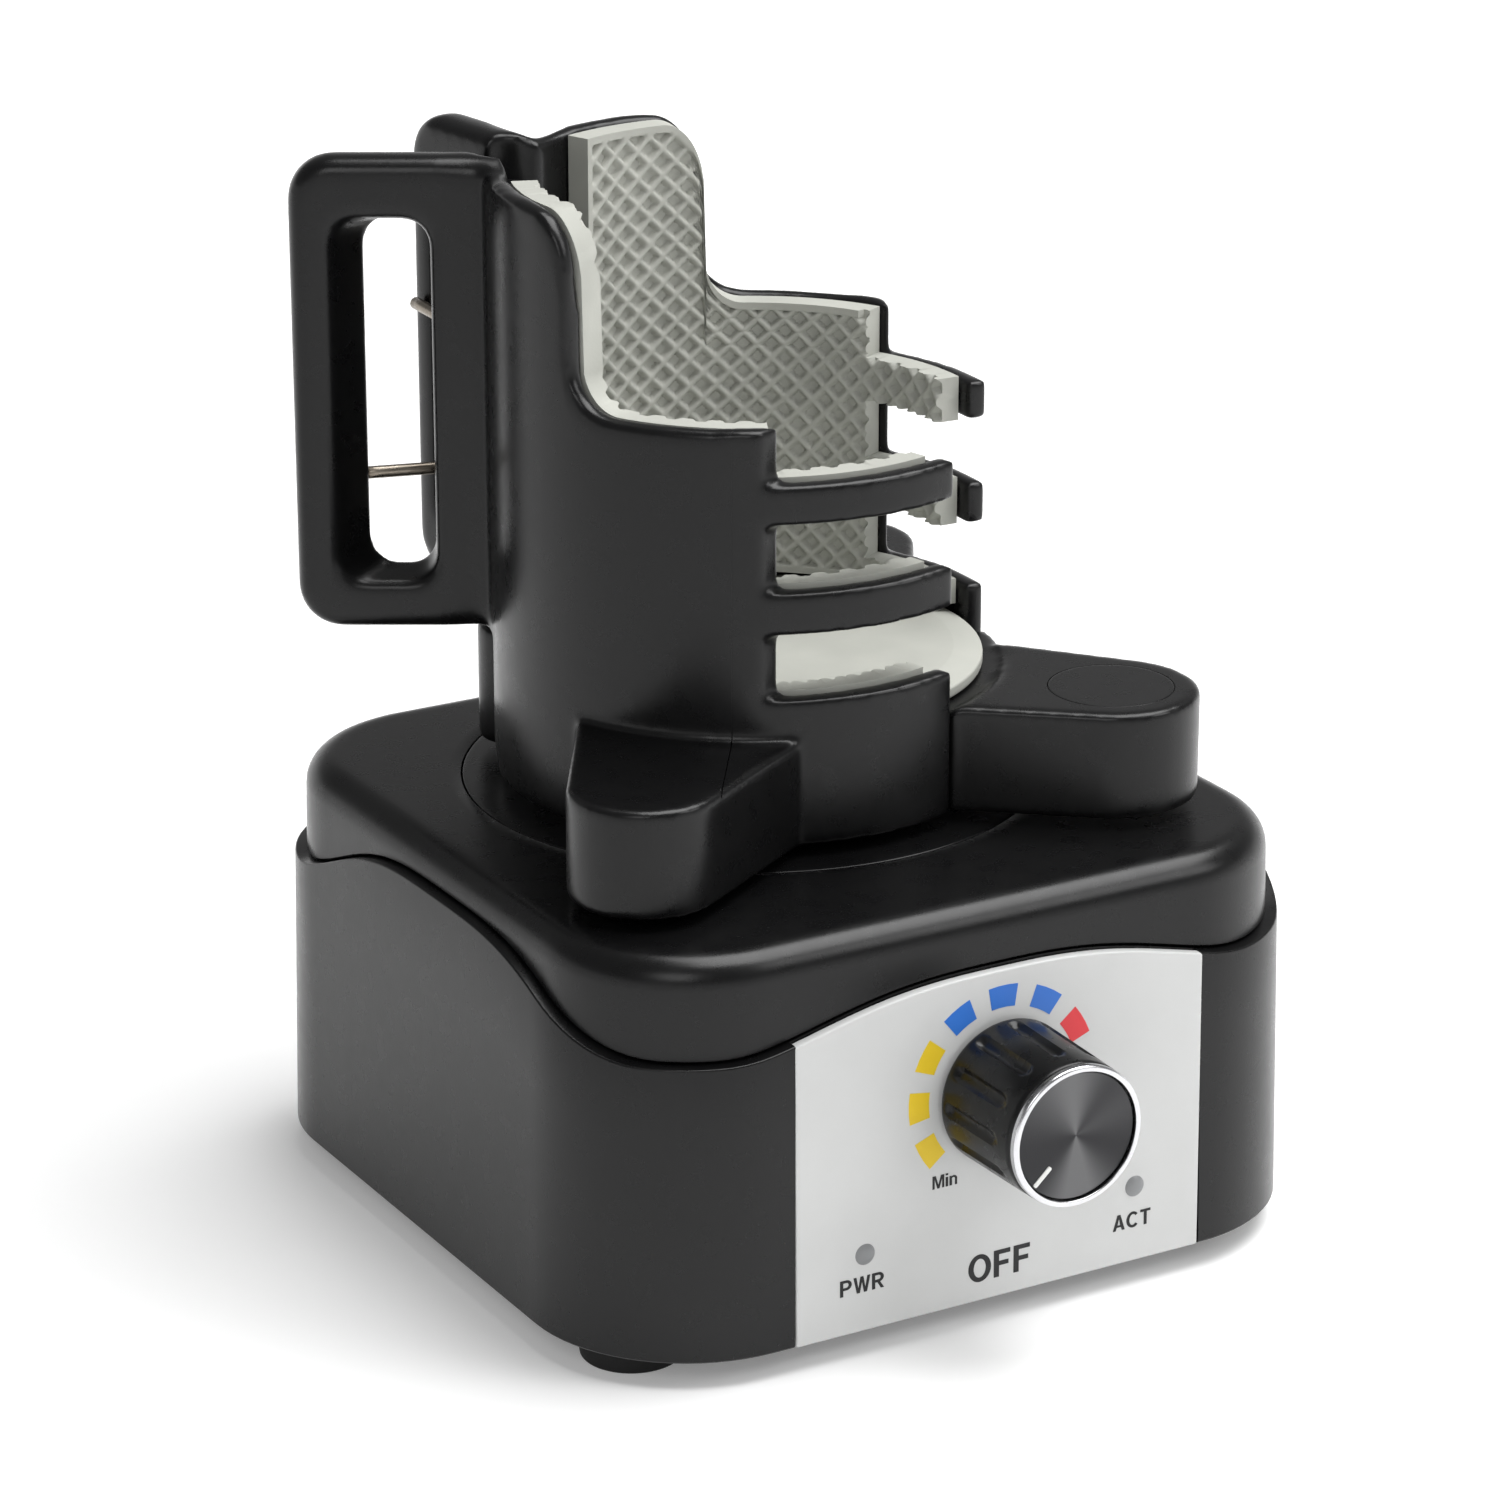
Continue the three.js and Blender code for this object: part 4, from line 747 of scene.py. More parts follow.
def label(name, word, u, v, height):
    """A word printed on the panel, centred on (u, v)."""
    curve = bpy.data.curves.new(name, "CURVE")
    curve.dimensions = "2D"
    curve.fill_mode = "BOTH"
    curve.extrude = INK_THICK
    pen = -(sum(LETTERS[letter][0] + LETTER_SPACE for letter in word) - LETTER_SPACE) / 2
    for letter in word:
        advance, outlines = LETTERS[letter]
        for outline in outlines:
            spline = curve.splines.new("POLY")
            spline.points.add(len(outline) - 1)
            for point, (x, y) in zip(spline.points, outline):
                point.co = ((pen + x) * LETTER_STRETCH * height, (y - 0.5) * height, 0, 1)
            spline.use_cyclic_u = True
        pen += advance + LETTER_SPACE
    source = add_object(name + "_source", curve)
    bpy.context.view_layer.update()
    mesh = bpy.data.meshes.new_from_object(source.evaluated_get(bpy.context.evaluated_depsgraph_get()))
    bpy.data.objects.remove(source)
    for vertex in mesh.vertices:
        x, y, z = vertex.co
        vertex.co = on_panel(u + x, v + y, z + INK_THICK) * MM
    finish_piece(add_object(name, mesh), "base_body", "grey_panel", material=INK, smooth=None)


def labels():
    label("label_min", "Min", -10.1, 29.8, 2.45)
    label("label_off", "OFF", 1.3, 11.3, 5.15)
    label("label_power", "PWR", -26.9, 14.0, 3.05)
    label("label_active", "ACT", 29.2, 13.1, 3.0)


def lamps():
    for name, offset in (("power_lamp", -LAMP_OFFSET), ("activity_lamp", LAMP_OFFSET)):
        dome = [(0, 0.55), (0.9, 0.45), (1.6, 0.2), (LAMP_RADIUS, -0.35)]
        lens = lathe(name + "_lens", [(0, -6), (LAMP_RADIUS, -6), *reversed(dome)], 40)
        facing_front(lens, PANEL_X + offset, LAMP_HEIGHT)
        finish_piece(lens, "base_body", "lamp_grey", name)


def knob():
    flute_start, flute_end, half_width, depth = 2.2, KNOB_FRONT - 6, 1.25, 0.95
    profile = [(0, 5), (9, 5), (9, 0.5), (KNOB_RADIUS - 0.5, 0.5), (KNOB_RADIUS - 0.15, 0.65), (KNOB_RADIUS, 1)]
    for i in range(27):
        profile.append((KNOB_RADIUS - 0.012 * i, 1.4 + (flute_end + 1 - 1.4) * i / 26))
    collar, front = KNOB_RADIUS - 0.4, KNOB_FRONT - 1.6
    for inset, depth_in in ((0, 1.5), (0, 0.5), (0.2, 0.1), (0.5, 0), (collar, 0)):
        profile.append((collar - inset, front - depth_in))
    body = lathe("knob_grip", profile, 288)
    pitch = 2 * math.pi / KNOB_FLUTES
    for vertex in body.data.vertices:
        x, y, z = vertex.co / MM
        radius = math.hypot(x, y)
        if radius < KNOB_RADIUS - 1 or z < 0.9 or z > flute_end + 0.6:
            continue
        across = abs((math.atan2(y, x) + pitch / 2) % pitch - pitch / 2) * radius
        beyond = max(z - (flute_end - half_width), flute_start + half_width - z, 0)
        away = math.hypot(across, beyond) / half_width
        if away < 1:
            shrink = (radius - depth * math.sqrt(1 - away**2)) / radius
            vertex.co = Vector((x * shrink, y * shrink, z)) * MM
    facing_front(body, PANEL_X, KNOB_HEIGHT)
    finish_piece(body, "knob_body", "black_plastic", "control_knob", smooth=50)

    inner, outer = KNOB_RADIUS - 1.55, KNOB_RADIUS - 0.45
    back = KNOB_FRONT - 1.3
    section = [(inner, back, 0), (outer, back, 0), (outer, KNOB_FRONT, 0.5), (inner, KNOB_FRONT, 0.2)]
    rim = turned("knob_ring", section, 120, steps=5)
    facing_front(rim, PANEL_X, KNOB_HEIGHT)
    finish_piece(rim, "knob_body", "silver", "knob_rim")

    radius = KNOB_RADIUS - 1.9
    dished = [(radius * (1 - k / 8), KNOB_FRONT - 0.7 - 0.12 * (k / 8)) for k in range(9)]
    face = lathe("knob_cap", [(0, back), (radius, back), (radius, KNOB_FRONT - 0.8), *dished], 120)
    face.matrix_world = shift(BASE.x + PANEL_X, BASE.y - BASE_HALF, KNOB_HEIGHT) @ FACE_FRONT
    # The face's base colour holds painted highlights as well as its own dark tone.
    finish_piece(face, "knob_body", "black_plastic", "knob_face", material=spun_face_with_painted_highlights())

    corners = ((7, -0.42), (KNOB_RADIUS - 2, -0.42), (KNOB_RADIUS - 2, 0.42), (7, 0.42))
    line = rounded([(x, y, 0.3) for x, y in corners], 4)
    pointer = prism(line, KNOB_FRONT - 0.8, KNOB_FRONT - 0.55, "knob_line")
    pointer.data.transform(Matrix.Rotation(math.radians(POINTER_ANGLE), 4, "Z"))
    facing_front(pointer, PANEL_X, KNOB_HEIGHT)
    finish_piece(pointer, "knob_body", "white", "knob_pointer", smooth=None)


def feet():
    for index in range(4):
        node = f"foot_{index + 1}"
        low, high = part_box(node)
        centre, radius = centre_of(node), (high.x - low.x) / 2 / MM
        top, neck_top, neck, bore = 4.7, 5.3, 4, 2.2
        profile = [
            (0, 0.35, 0), (radius * 0.5, 0.35, 0.2), (radius * 0.55, 0, 0.2), (radius - 0.6, 0, 0.7),
            (radius, top, 0.5), (neck, top, 0), (neck, neck_top, 0), (bore, neck_top, 0), (bore, 10, 0), (0, 10, 0),
        ]
        pad = turned(f"rubber_{node}", profile, 56, (centre.x, centre.y, 0))
        finish_piece(pad, "base_body", "black_rubber", node)


def case_screws():
    head_radius, shank, point = 3, 1.5, 0.75
    depth = 1.2
    slot = [(1.8 * x, 0.35 * y) for x, y in ((-1, -1), (1, -1), (1, 1), (-1, 1))]
    for index in range(4):
        node = f"case_screw_{index + 1}"
        centre, (bottom, top) = centre_of(node), span_of(node)
        seat = bottom + 2
        profile = [
            (0, bottom, 0), (head_radius, bottom, 1.1), (head_radius, seat, 0.1), (shank, seat, 0),
            (shank, top - 1, 0), (point, top, 0), (0, top, 0),
        ]
        head = turned(f"pan_{node}", profile, 32, (centre.x, centre.y, 0))
        for angle in (20, 110):
            blade = prism(slot, bottom - depth, bottom + depth)
            blade.data.transform(shift(centre.x, centre.y, 0) @ Matrix.Rotation(math.radians(angle), 4, "Z"))
            cut(head, blade)
        finish_piece(head, "base_body", "steel", node)


def power_inlet():
    rim, back, lip, seat, mouth, floor = 7.5, -13, -1.5, -0.4, 3.2, -9
    profile = [
        (0, back, 0), (5.5, back, 0), (5.5, lip, 0), (rim, lip, 0), (rim, seat, 0.5), (mouth, seat, 0.4),
        (mouth, floor, 0), (0, floor, 0),
    ]
    socket = turned("inlet_socket", profile, 64)
    contact = turned("inlet_contact", [(0, floor, 0), (1, floor, 0), (1, -2, 0.4), (0, -2, 0)], 32)
    for piece in (socket, contact):
        facing_back(piece)
    finish_piece(socket, "base_body", "black_plastic", "power_inlet")
    finish_piece(contact, "base_body", "steel")


def turntable():
    bottom, top, edge = TABLE_BOTTOM, TABLE_TOP, TABLE_RADIUS
    plate, hub, bore = top - 2.8, 12, 6.3
    profile = [
        (bore, plate, 0), (bore, bottom, 0), (hub, bottom, 0.5), (hub, plate, 0), (edge, plate, 0.3),
        (edge, top, 0.2), (edge - 1, top, 0), (0, top, 0), (0, plate, 0),
    ]
    disc = turned("table_disc", profile, 160, (AXIS.x, AXIS.y, 0))
    finish_piece(disc, "cradle_body", "black_plastic", "turntable_disc")


# ---- Cradle, drawn about its axis with the hinge on +X, then set in place ----

CRADLE_PLACE = shift(AXIS.x, AXIS.y, 0) @ Matrix.Rotation(math.radians(HINGE_ANGLE), 4, "Z")


def polar(radius, degrees, z=0.0):
    turn = math.radians(degrees)
    return Vector((radius * math.cos(turn), radius * math.sin(turn), z))


def steps(start, end, stride):
    count = max(1, round((end - start) / stride))
    return [start + (end - start) * i / count for i in range(count + 1)]


def jaw_top(angle):
    """The wall's height: tall by the handle, then a round crown, a steep drop and a dip to the middle height."""
    if angle <= CROWN["start"]:
        return TALL_TOP
    if angle < TALL_END:
        share = (angle - CROWN["start"]) / (TALL_END - CROWN["start"])
        return TALL_TOP - CROWN["drop"] * (1 - math.sqrt(1 - share * share))
    if angle < DIP["end"]:
        share = (DIP["end"] - angle) / (DIP["end"] - TALL_END)
        return MIDDLE_TOP + DIP["rise"] * (1 - math.sqrt(1 - share * share))
    return MIDDLE_TOP


def arc_wall(inner, outer, angles, side, bottom, top, slant=0.0):
    """A wall round the axis. The slant moves the last section's inner edge on round, as a bevelled end."""
    sections = []
    for i, angle in enumerate(angles):
        height = top(angle) if callable(top) else top
        inner_angle = angle + slant if i == len(angles) - 1 else angle
        a, b = polar(inner, side * inner_angle), polar(outer, side * angle)
        sections.append([Vector((p.x, p.y, z)) for p, z in ((a, bottom), (b, bottom), (b, height), (a, height))])
    return to_object("wall", *loft(sections))


def lobe_outline(shape, side, root_radius):
    """A lobe's outline: a round end, and straight flanks that touch it and run to the root circle."""
    low, high = side * shape["middle"] - shape["spread"], side * shape["middle"] + shape["spread"]
    end = polar(shape["reach"], side * shape["middle"]).to_2d()
    roots = [polar(root_radius, angle).to_2d() for angle in (low, high)]
    touches = []
    for way, root in zip((1, -1), roots):
        back = root - end
        heading = math.atan2(back.y, back.x)
        touches.append(heading + way * math.acos(shape["radius"] / back.length))
    while touches[1] < touches[0]:
        touches[1] += 2 * math.pi
    points = [roots[0]]
    for i in range(33):
        angle = touches[0] + (touches[1] - touches[0]) * i / 32
        points.append(end + Vector((math.cos(angle), math.sin(angle))) * shape["radius"])
    points.append(roots[1])
    points += [polar(root_radius, high + (low - high) * i / 12).to_2d() for i in range(1, 12)]
    return points


def rounded_rectangle(x0, x1, y0, y1, radius, z):
    left, right, low, high = x0 + radius, x1 - radius, y0 + radius, y1 - radius
    points = []
    for corner, (x, y) in enumerate(((right, high), (left, high), (left, low), (right, low))):
        for i in range(11):
            at = polar(radius, 90 * corner + 9 * i)
            points.append(Vector((x + at.x, y + at.y, z)))
    return points


def handle(side, design):
    """The plate is drawn flat, x out from the jaw and y upwards, then stood up on the jaw at its heading."""
    edge, corner, root, hole_corner, flare, thick = 3.2, 8, -3, 5, 1.3, HANDLE_THICK

    def curl(reach, level):
        """How far an edge rounded by reach draws back at a level through the plate."""
        near = min(max(reach - level, level - (thick - reach), 0), reach)
        return reach - math.sqrt(reach**2 - near**2)

    rings = []
    for level in (0, 0.35, 0.9, 1.7, edge, thick - edge, thick - 1.7, thick - 0.9, thick - 0.35, thick):
        inset = curl(edge, level)
        low, high = HANDLE_BOTTOM + inset, HANDLE_TOP - inset
        ring = rounded_rectangle(root, design["length"] - inset, low, high, corner - inset, level)
        for p in ring:
            if p.x < root + corner:
                p.y = high if p.y > (low + high) / 2 else low
        rings.append(ring)
    plate = to_object("plate", *loft(rings))
    hole_rings = []
    for level in (-1, 0, 0.3, 0.7, flare, thick - flare, thick - 0.7, thick - 0.3, thick, thick + 1):
        share = min(max(level / thick, 0), 1)
        grow = curl(flare, level)
        left, right, low, high = (a + (b - a) * share for a, b in zip(design["slot"], design["inside"]))
        bounds = (left - grow, right + grow, low - grow, high + grow)
        hole_rings.append(rounded_rectangle(*bounds, hole_corner, level))
    cut(plate, to_object("hole", *loft(hole_rings)))
    root_at = polar(SHELL_OUTER, side * HANDLE_ROOT)
    out = polar(1, design["heading"])
    across = out.cross(Vector((0, 0, 1)))
    if side < 0:
        across = -across
    stand = Matrix((
        (out.x, 0, across.x, root_at.x * MM),
        (out.y, 0, across.y, root_at.y * MM),
        (0, 1, 0, 0),
        (0, 0, 0, 1),
    ))
    plate.data.transform(stand)
    clean(plate.data, weld=False)
    return plate


def post(radius, bottom, top, bore=0.0):
    """A round solid on the hinge pin's axis, or a ring where it has a bore."""
    profile = [(bore, bottom), (radius, bottom), (radius, top), (bore, top)]
    return lathe("post", profile, 64, (HINGE_RADIUS, 0, 0))


def knuckle(side, bottom, top):
    near, far = (polar(radius, side * (SHELL_START + 1)) for radius in (SHELL_INNER + 0.3, SHELL_OUTER - 0.3))
    web = [(HINGE_RADIUS - 2, side * 4.2), (HINGE_RADIUS + 4, side * 4.2), far.to_2d(), near.to_2d()]
    return [post(KNUCKLE_RADIUS, bottom, top, bore=PIN_RADIUS + 0.35), prism(web, bottom, top)]


def in_place(point):
    """A point of the cradle's own drawing, set in place."""
    return CRADLE_PLACE @ (point * MM) / MM


def soft_places(side):
    """Weights that soften the fold where the handle's outer face meets the shell, and roll the notch's rim."""
    line = in_place(polar(SHELL_OUTER + 1, side * (HANDLE_ROOT + 3)))
    hinge = math.radians(HINGE_ANGLE)

    def weigh(points):
        away = np.hypot(points[:, 0] - line.x, points[:, 1] - line.y)
        fold = np.clip(1.6 - away / 5.5, 0, 1)
        round_axis = np.arctan2(points[:, 1] - AXIS.y, points[:, 0] - AXIS.x) - hinge
        angle = side * np.degrees((round_axis + math.pi) % (2 * math.pi) - math.pi)
        top = np.interp(angle, TOP_ANGLES, [jaw_top(a) for a in TOP_ANGLES])
        on_notch = np.clip((angle - 44) / 6, 0, 1) * np.clip((WINDOW_START - 5 - angle) / 6, 0, 1)
        rim = 0.45 * on_notch * np.clip((points[:, 2] - top + 7) / 3, 0, 1)
        return np.maximum(fold, rim)

    return weigh


def leg_room(side, heading, length, height):
    """Room in a jaw for the spring leg that the other jaw carries past it when both have swung open."""
    heading += side * OPEN_SWING
    start = Vector((HINGE_RADIUS, 0, 0)) + polar(SPRING_RADIUS, heading + side * 90)
    along, across = polar(1, heading), polar(side, heading + 90)
    near, far, swept, room = -1, length + 1.5, -8, LEG_ROOM
    corners = ((near, swept), (far, swept), (far, room), (near, room))
    outline = [start + along * s + across * t for s, t in corners]
    return prism(outline if side > 0 else outline[::-1], height - room, height + room)


def jaw(name, side, tip, design, knuckles, legs):
    wall_angles = [SHELL_START]
    for end, stride in ((50, 3), (60, 1), (64, 0.4), (DIP["end"], 1), (WINDOW_START, 3)):
        wall_angles += steps(wall_angles[-1], end, stride)[1:]
    finger_angles = steps(WINDOW_START - 4, tip, 2)
    wall = arc_wall(SHELL_INNER, SHELL_OUTER, wall_angles, side, CRADLE_BOTTOM, jaw_top, WINDOW_BEVEL)
    plate = handle(side, design)
    for piece in (wall, plate):
        cut(piece, post(KNUCKLE_RADIUS + 0.7, *THROUGH), *[leg_room(side, *leg) for leg in legs])
    solids = [wall, plate]
    bottom = CRADLE_BOTTOM
    for low, high in [*WINDOWS, (FINGER_TOP, None)]:
        solids.append(arc_wall(SHELL_INNER, SHELL_OUTER, finger_angles, side, bottom, low))
        bottom = high
    solids.append(prism(lobe_outline(LOBE, side, SHELL_INNER + 1), CRADLE_BOTTOM, ARM_TOP))
    for heights in knuckles:
        solids += knuckle(side, *heights)
    for piece in solids:
        piece.data.transform(CRADLE_PLACE)
    skin = moulded_skin(name + "_shell", solids, soft=soft_places(side))
    if side > 0:
        half, beyond = PARTING["half_width"], 95
        for radius, low, high in (
            (SHELL_OUTER - PARTING["wall_depth"], ARM_TOP - 1, MIDDLE_TOP + 2),
            (SHELL_OUTER - 2, ARM_TOP - PARTING["lobe_depth"], ARM_TOP + 1),
        ):
            line = prism([(radius, -half), (beyond, -half), (beyond, half), (radius, half)], low, high)
            line.data.transform(CRADLE_PLACE @ Matrix.Rotation(math.radians(PARTING["angle"]), 4, "Z"))
            cut(skin, line)
    finish_piece(skin, name + "_body", "black_plastic", name, smooth=80)


def ridge_height(u, v):
    """Raised diamond grid of 45 degree ridges, from 0 to 1."""
    tallest = np.zeros_like(u)
    for along in ((u + v) / math.sqrt(2), (u - v) / math.sqrt(2)):
        away = np.abs((along + RIDGE_PITCH / 2) % RIDGE_PITCH - RIDGE_PITCH / 2)
        tallest = np.maximum(tallest, np.clip(1 - away / RIDGE_HALF, 0, 1))
    return np.sqrt(np.clip(tallest, 0, 1) * (2 - tallest))


def jaw_pad(name, side, tip):
    """A rubber liner: a grid over angle and height, without the fingers' windows, and ridged inside."""
    outer, start, turn = SHELL_INNER - 0.3, LINER_START, WINDOW_START + 2
    angles = steps(start, turn, 0.62) + steps(turn, tip - 4, 0.62)[1:]
    window_column = next(i for i, a in enumerate(angles) if a >= turn - 1e-6)
    levels = []
    cuts = [LINER_BOTTOM, *LINER_WINDOWS[0], *LINER_WINDOWS[1], FINGER_TOP + 0.5]
    for low, high in zip(cuts, cuts[1:]):
        levels += steps(low, high, 0.45)[:-1]
    levels.append(cuts[-1])
    upper = 96
    low_count = len(levels)
    rows = low_count + upper

    def height(column, row):
        if row < low_count:
            return levels[row]
        top = jaw_top(angles[column]) - LINER_SINK
        return levels[-1] + (top - levels[-1]) * (row - low_count + 1) / upper

    def filled(column, row):
        if column < window_column:
            return True
        if row + 1 >= low_count:
            return False
        middle = (levels[row] + levels[row + 1]) / 2
        return not any(low < middle < high for low, high in LINER_WINDOWS)

    heights = np.array([[height(c, r) for r in range(rows)] for c in range(len(angles))])
    across = np.array(angles)[:, None] * np.ones((1, rows))
    edge = np.minimum(np.radians(across - start) * LINER_INNER, heights - LINER_BOTTOM)
    if side < 0:  # the rear liner has a border along its top too
        edge = np.where(across < WINDOW_START, np.minimum(edge, heights[:, -1:] - heights), edge)
    ridges = ridge_height(np.radians(across) * LINER_INNER, heights)
    border = np.clip((LINER_BORDER - edge) / 0.4, 0, 1) * (edge < LINER_BORDER + 0.4)
    radius = LINER_INNER + RIDGE_DEPTH * (1 - np.maximum(ridges, border))
    columns = len(angles)
    points, index = [], {}

    def vertex(column, row, inside):
        key = (column, row, inside)
        if key not in index:
            r = radius[column, row] if inside else outer
            index[key] = len(points)
            points.append(polar(r, side * angles[column], heights[column, row]))
        return index[key]

    faces = []
    for c in range(columns - 1):
        for r in range(rows - 1):
            if not filled(c, r):
                continue
            corners = ((c, r), (c + 1, r), (c + 1, r + 1), (c, r + 1))
            faces.append([vertex(*corner, True) for corner in corners])
            faces.append([vertex(*corner, False) for corner in reversed(corners)])
            for (dc, dr), (i, j) in (((0, -1), (0, 1)), ((1, 0), (1, 2)), ((0, 1), (2, 3)), ((-1, 0), (3, 0))):
                beside = (c + dc, r + dr)
                if not (0 <= beside[0] < columns - 1 and 0 <= beside[1] < rows - 1 and filled(*beside)):
                    a, b = corners[i], corners[j]
                    faces.append([vertex(*b, True), vertex(*a, True), vertex(*a, False), vertex(*b, False)])
    pad = to_object(name + "_grip", points, faces)
    pad.data.transform(CRADLE_PLACE)
    finish_piece(pad, name + "_body", "grey_rubber", name + "_pad", smooth=50)


def carrier():
    ring_angles = steps(FRONT_TIP + 1.2, 360 - REAR_TIP - 1.5, 2)
    solids = [
        cylinder("pedestal", PEDESTAL_RADIUS, CRADLE_BOTTOM, PEDESTAL_TOP, 128),
        cylinder("core", 24, TABLE_TOP + 0.3, CRADLE_BOTTOM + 1, 96),
        prism(lobe_outline(ARM, 1, SHELL_OUTER - 1), CRADLE_BOTTOM, ARM_TOP),
        arc_wall(28, SHELL_OUTER - 0.4, ring_angles, 1, CRADLE_BOTTOM, PEDESTAL_TOP),
        post(KNUCKLE_RADIUS, CRADLE_BOTTOM, EAR_TOP),
    ]
    for piece in solids:
        piece.data.transform(CRADLE_PLACE)
    skin = moulded_skin("carrier_skin", solids, passes=14)
    centre = in_place(polar(ARM["reach"], ARM["middle"]))
    radius, seat = PLUG_RADIUS, ARM_TOP - PLUG_THICK
    cut(skin, cylinder("recess", radius + 0.15, seat - 0.1, ARM_TOP + 1, 120, centre))
    finish_piece(skin, "cradle_body", "black_plastic", "cradle_carrier", smooth=60)

    plug = [(0, seat, 0), (radius, seat, 0), (radius, ARM_TOP, 0.1), (radius - 0.4, ARM_TOP, 0), (0, ARM_TOP, 0)]
    cap = turned("arm_plug", plug, 120, centre, steps=3)
    finish_piece(cap, "cradle_body", "black_plastic", "arm_cap")


def floor_pad():
    bottom, top = span_of("floor_pad")
    radius, flat = PEDESTAL_RADIUS, LINER_INNER - 1
    profile = [
        (0, bottom, 0), (radius, bottom, 0.6), (radius, top - 0.8, 0.5), (flat, top, 1.5), (flat - 3, top, 0),
        (0, top, 0),
    ]
    disc = turned("floor_grip", profile, 160, steps=5)
    cut(disc, post(KNUCKLE_RADIUS + 0.4, *THROUGH))
    disc.data.transform(CRADLE_PLACE)
    finish_piece(disc, "cradle_body", "grey_rubber", "floor_pad")


def hinge_pin():
    bottom, top = span_of("hinge_pin")
    rod = [(0, bottom, 0), (PIN_RADIUS, bottom, 0.5), (PIN_RADIUS, top, 0.5), (0, top, 0)]
    pin = turned("pin_rod", rod, 48, (PIN.x, PIN.y, 0))
    head, crown, bore, socket = PIN_HEAD, PIN_HEAD + 6, 2.8, PIN_HEAD + 4.2
    dome = [
        (0, socket, 0), (bore, socket, 0), (bore, head, 0), (5.5, head, 0.3), (5.5, head + 3.4, 1.5),
        (3.2, crown, 2.2), (0, crown, 0),
    ]
    cap = turned("pin_knob", dome, 64, (PIN.x, PIN.y, 0), steps=5)
    finish_piece(pin, "cradle_body", "steel", "hinge_pin")
    finish_piece(cap, "cradle_body", "black_plastic", "pin_cap")


def tube(name, path, radius, sides=14):
    """A round wire along a path that is nowhere upright, closed at both ends."""
    turns = [2 * math.pi * k / sides for k in range(sides)]
    rings = []
    for i, p in enumerate(path):
        ahead = (path[min(i + 1, len(path) - 1)] - path[max(i - 1, 0)]).normalized()
        across = Vector((0, 0, 1)).cross(ahead).normalized()
        up = ahead.cross(across)
        rings.append([p + (across * math.cos(turn) + up * math.sin(turn)) * radius for turn in turns])
    ends = []
    for ring, p, way in ((rings[0], path[0], path[0] - path[1]), (rings[-1], path[-1], path[-1] - path[-2])):
        way = way.normalized() * radius * 0.35
        ends.append([p + way + (q - p) * 0.7 for q in ring])
    return to_object(name, *loft([ends[0], *rings, ends[1]]))


def torsion_spring(name, bottom, low_leg, high_leg):
    """Leg, coil, leg. The coil is halved, and each half is drawn as a wire of its own with the leg on its side."""
    start, finish = low_leg[0] + 90, high_leg[0] - 90
    sweep = SPRING_TURNS * 360 + (finish - start) % 360
    count = round(sweep / 9)
    pin = Vector((HINGE_RADIUS, 0, 0))

    def on_coil(angle):
        return pin + polar(SPRING_RADIUS, start + angle, bottom + SPRING_PITCH * angle / 360)

    coil = [on_coil(sweep * i / count) for i in range(count + 1)]
    low = [coil[0] + polar(low_leg[1] * k / 8, low_leg[0]) for k in range(8, 0, -1)]
    high = [coil[-1] + polar(high_leg[1] * k / 8, high_leg[0]) for k in range(1, 9)]
    half = len(coil) // 2
    parts = (
        ("low", low + coil[: half + 1], "rear_jaw_body", coil[0].z + SPRING_WIRE, coil[half].z - SPRING_WIRE),
        ("high", coil[half:] + high, "front_jaw_body", coil[-1].z - SPRING_WIRE, coil[half].z + SPRING_WIRE),
    )
    for tag, path, body, jaw_end, coil_end in parts:
        wire = tube(f"{name}_{tag}", path, SPRING_WIRE)
        wire.data.transform(CRADLE_PLACE)
        smooth_shade(wire, 60)
        wire.data.materials.append(SLOTS["spring_steel"])
        start, end = ((PIN.x * MM, PIN.y * MM, z * MM) for z in (jaw_end, coil_end))
        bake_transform(wire)
        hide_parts(name)


# ---- Room ----


LENS = 129.6
CAMERA_PLACE = Vector((-466.8, -786.15, 425.7))
CAMERA_TARGET = Vector((-6.2, 11.55, 85.0))
FLOOR_HALF = 6000
DIM_FLOOR = (-0.3, -0.5, 0)  # in metres: the floor glows less round here, where the object's front mirrors it


def aim(thing, place, target):
    thing.location = place
    thing.rotation_euler = (target - place).to_track_quat("-Z", "Y").to_euler()


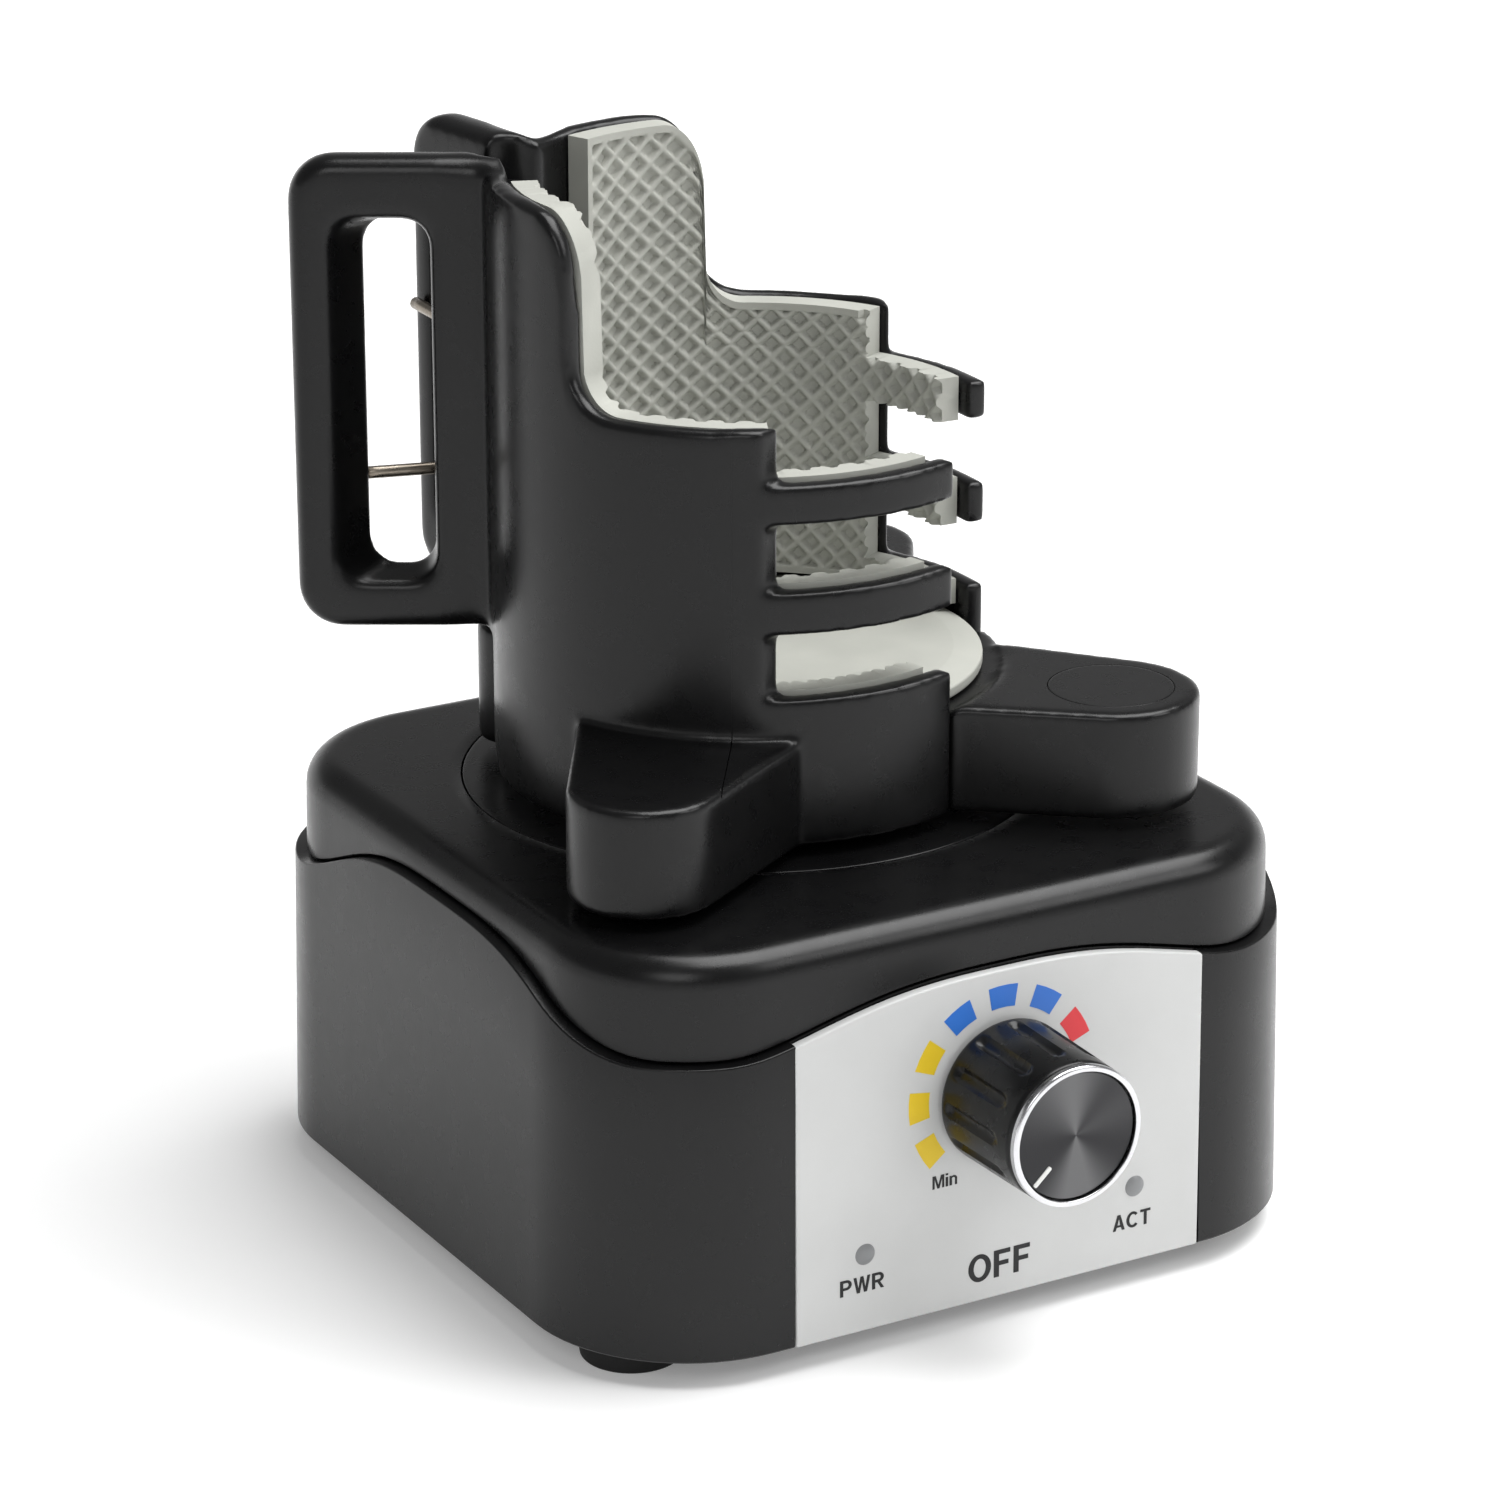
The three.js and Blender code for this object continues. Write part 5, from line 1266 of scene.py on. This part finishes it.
def studio():
    """A white floor and horizon, a dim sky, three soft lights and the photograph's camera."""
    corners = [(x * FLOOR_HALF, y * FLOOR_HALF, 0) for x, y in ((-1, -1), (1, -1), (1, 1), (-1, 1))]
    floor = to_object("studio_floor", corners, [(0, 1, 2, 3)])
    paper = new_material("paper", (0.90, 0.90, 0.90), 0.8, Specular_IOR_Level=0.1, Emission_Color=(1, 1, 1, 1))
    tree = paper.node_tree
    away = calculate(tree, "DISTANCE", place_in(tree), DIM_FLOOR, kind="ShaderNodeVectorMath")
    glow = map_range(tree, away, 0.95, 2.0, 0.2, 0.75)
    tree.links.new(glow, shader_of(paper).inputs["Emission Strength"])
    set_bump(paper, noise(tree, 800), 0.00002, 0.3)
    floor.data.materials.append(paper)

    world = bpy.data.worlds.new("studio_world")
    world.use_nodes = True
    tree = world.node_tree
    background = tree.nodes["Background"]
    background.inputs["Color"].default_value = (1, 1, 1, 1)
    axes = add_node(tree, "ShaderNodeSeparateXYZ")
    tree.links.new(place_in(tree, "Generated"), axes.inputs["Vector"])
    fade = map_range(tree, axes.outputs["Z"], 0.10, 0.26, 1.0, 0.2)
    tree.links.new(fade, background.inputs["Strength"])
    bpy.context.scene.world = world

    def softbox(name, place, size, power):
        """A square light in metres and watts, aimed at the object."""
        light = bpy.data.lights.new(name, "AREA")
        light.size = size
        light.energy = power
        aim(add_object(name, light), Vector(place), Vector((0, 0, 0.1)))

    softbox("overhead", (0.45, -0.1, 1.4), 1.1, 26)
    softbox("left_front", (-0.95, -1.15, 1.15), 0.7, 4.5)
    softbox("right_front", (0.95, -1.0, 1.05), 0.6, 5)

    camera = bpy.data.cameras.new("camera")
    camera.sensor_width = 36
    camera.lens = LENS
    camera.clip_end = 30
    eye = add_object("camera", camera)
    aim(eye, CAMERA_PLACE * MM, CAMERA_TARGET * MM)
    bpy.context.scene.camera = eye
    bpy.context.scene.view_settings.view_transform = "Standard"


# ---- The object ----

slot_of = {entry["node"]: entry["material_slot"] for entry in frame["record"]["subparts"]}
for node_name, node in frame["nodes"].items():
    node.data.materials.clear()
    node.data.materials.append(SLOTS[slot_of[node_name]])

studio()
base_housing()
top_cover()
front_panel()
dial_marks()
labels()
lamps()
knob()
feet()
case_screws()
power_inlet()
turntable()
rear_legs = [(*low_leg, bottom) for bottom, low_leg, _ in (LOWER_SPRING, UPPER_SPRING)]
jaw("front_jaw", 1, FRONT_TIP, FRONT_HANDLE, FRONT_KNUCKLES, rear_legs)
jaw("rear_jaw", -1, REAR_TIP, REAR_HANDLE, REAR_KNUCKLES, [(*LOWER_SPRING[2], LOWER_SPRING_TOP)])
jaw_pad("front_jaw", 1, FRONT_TIP)
jaw_pad("rear_jaw", -1, REAR_TIP)
carrier()
floor_pad()
hinge_pin()
torsion_spring("lower_torsion_spring", *LOWER_SPRING)
torsion_spring("upper_torsion_spring", *UPPER_SPRING)

bpy.context.view_layer.update()
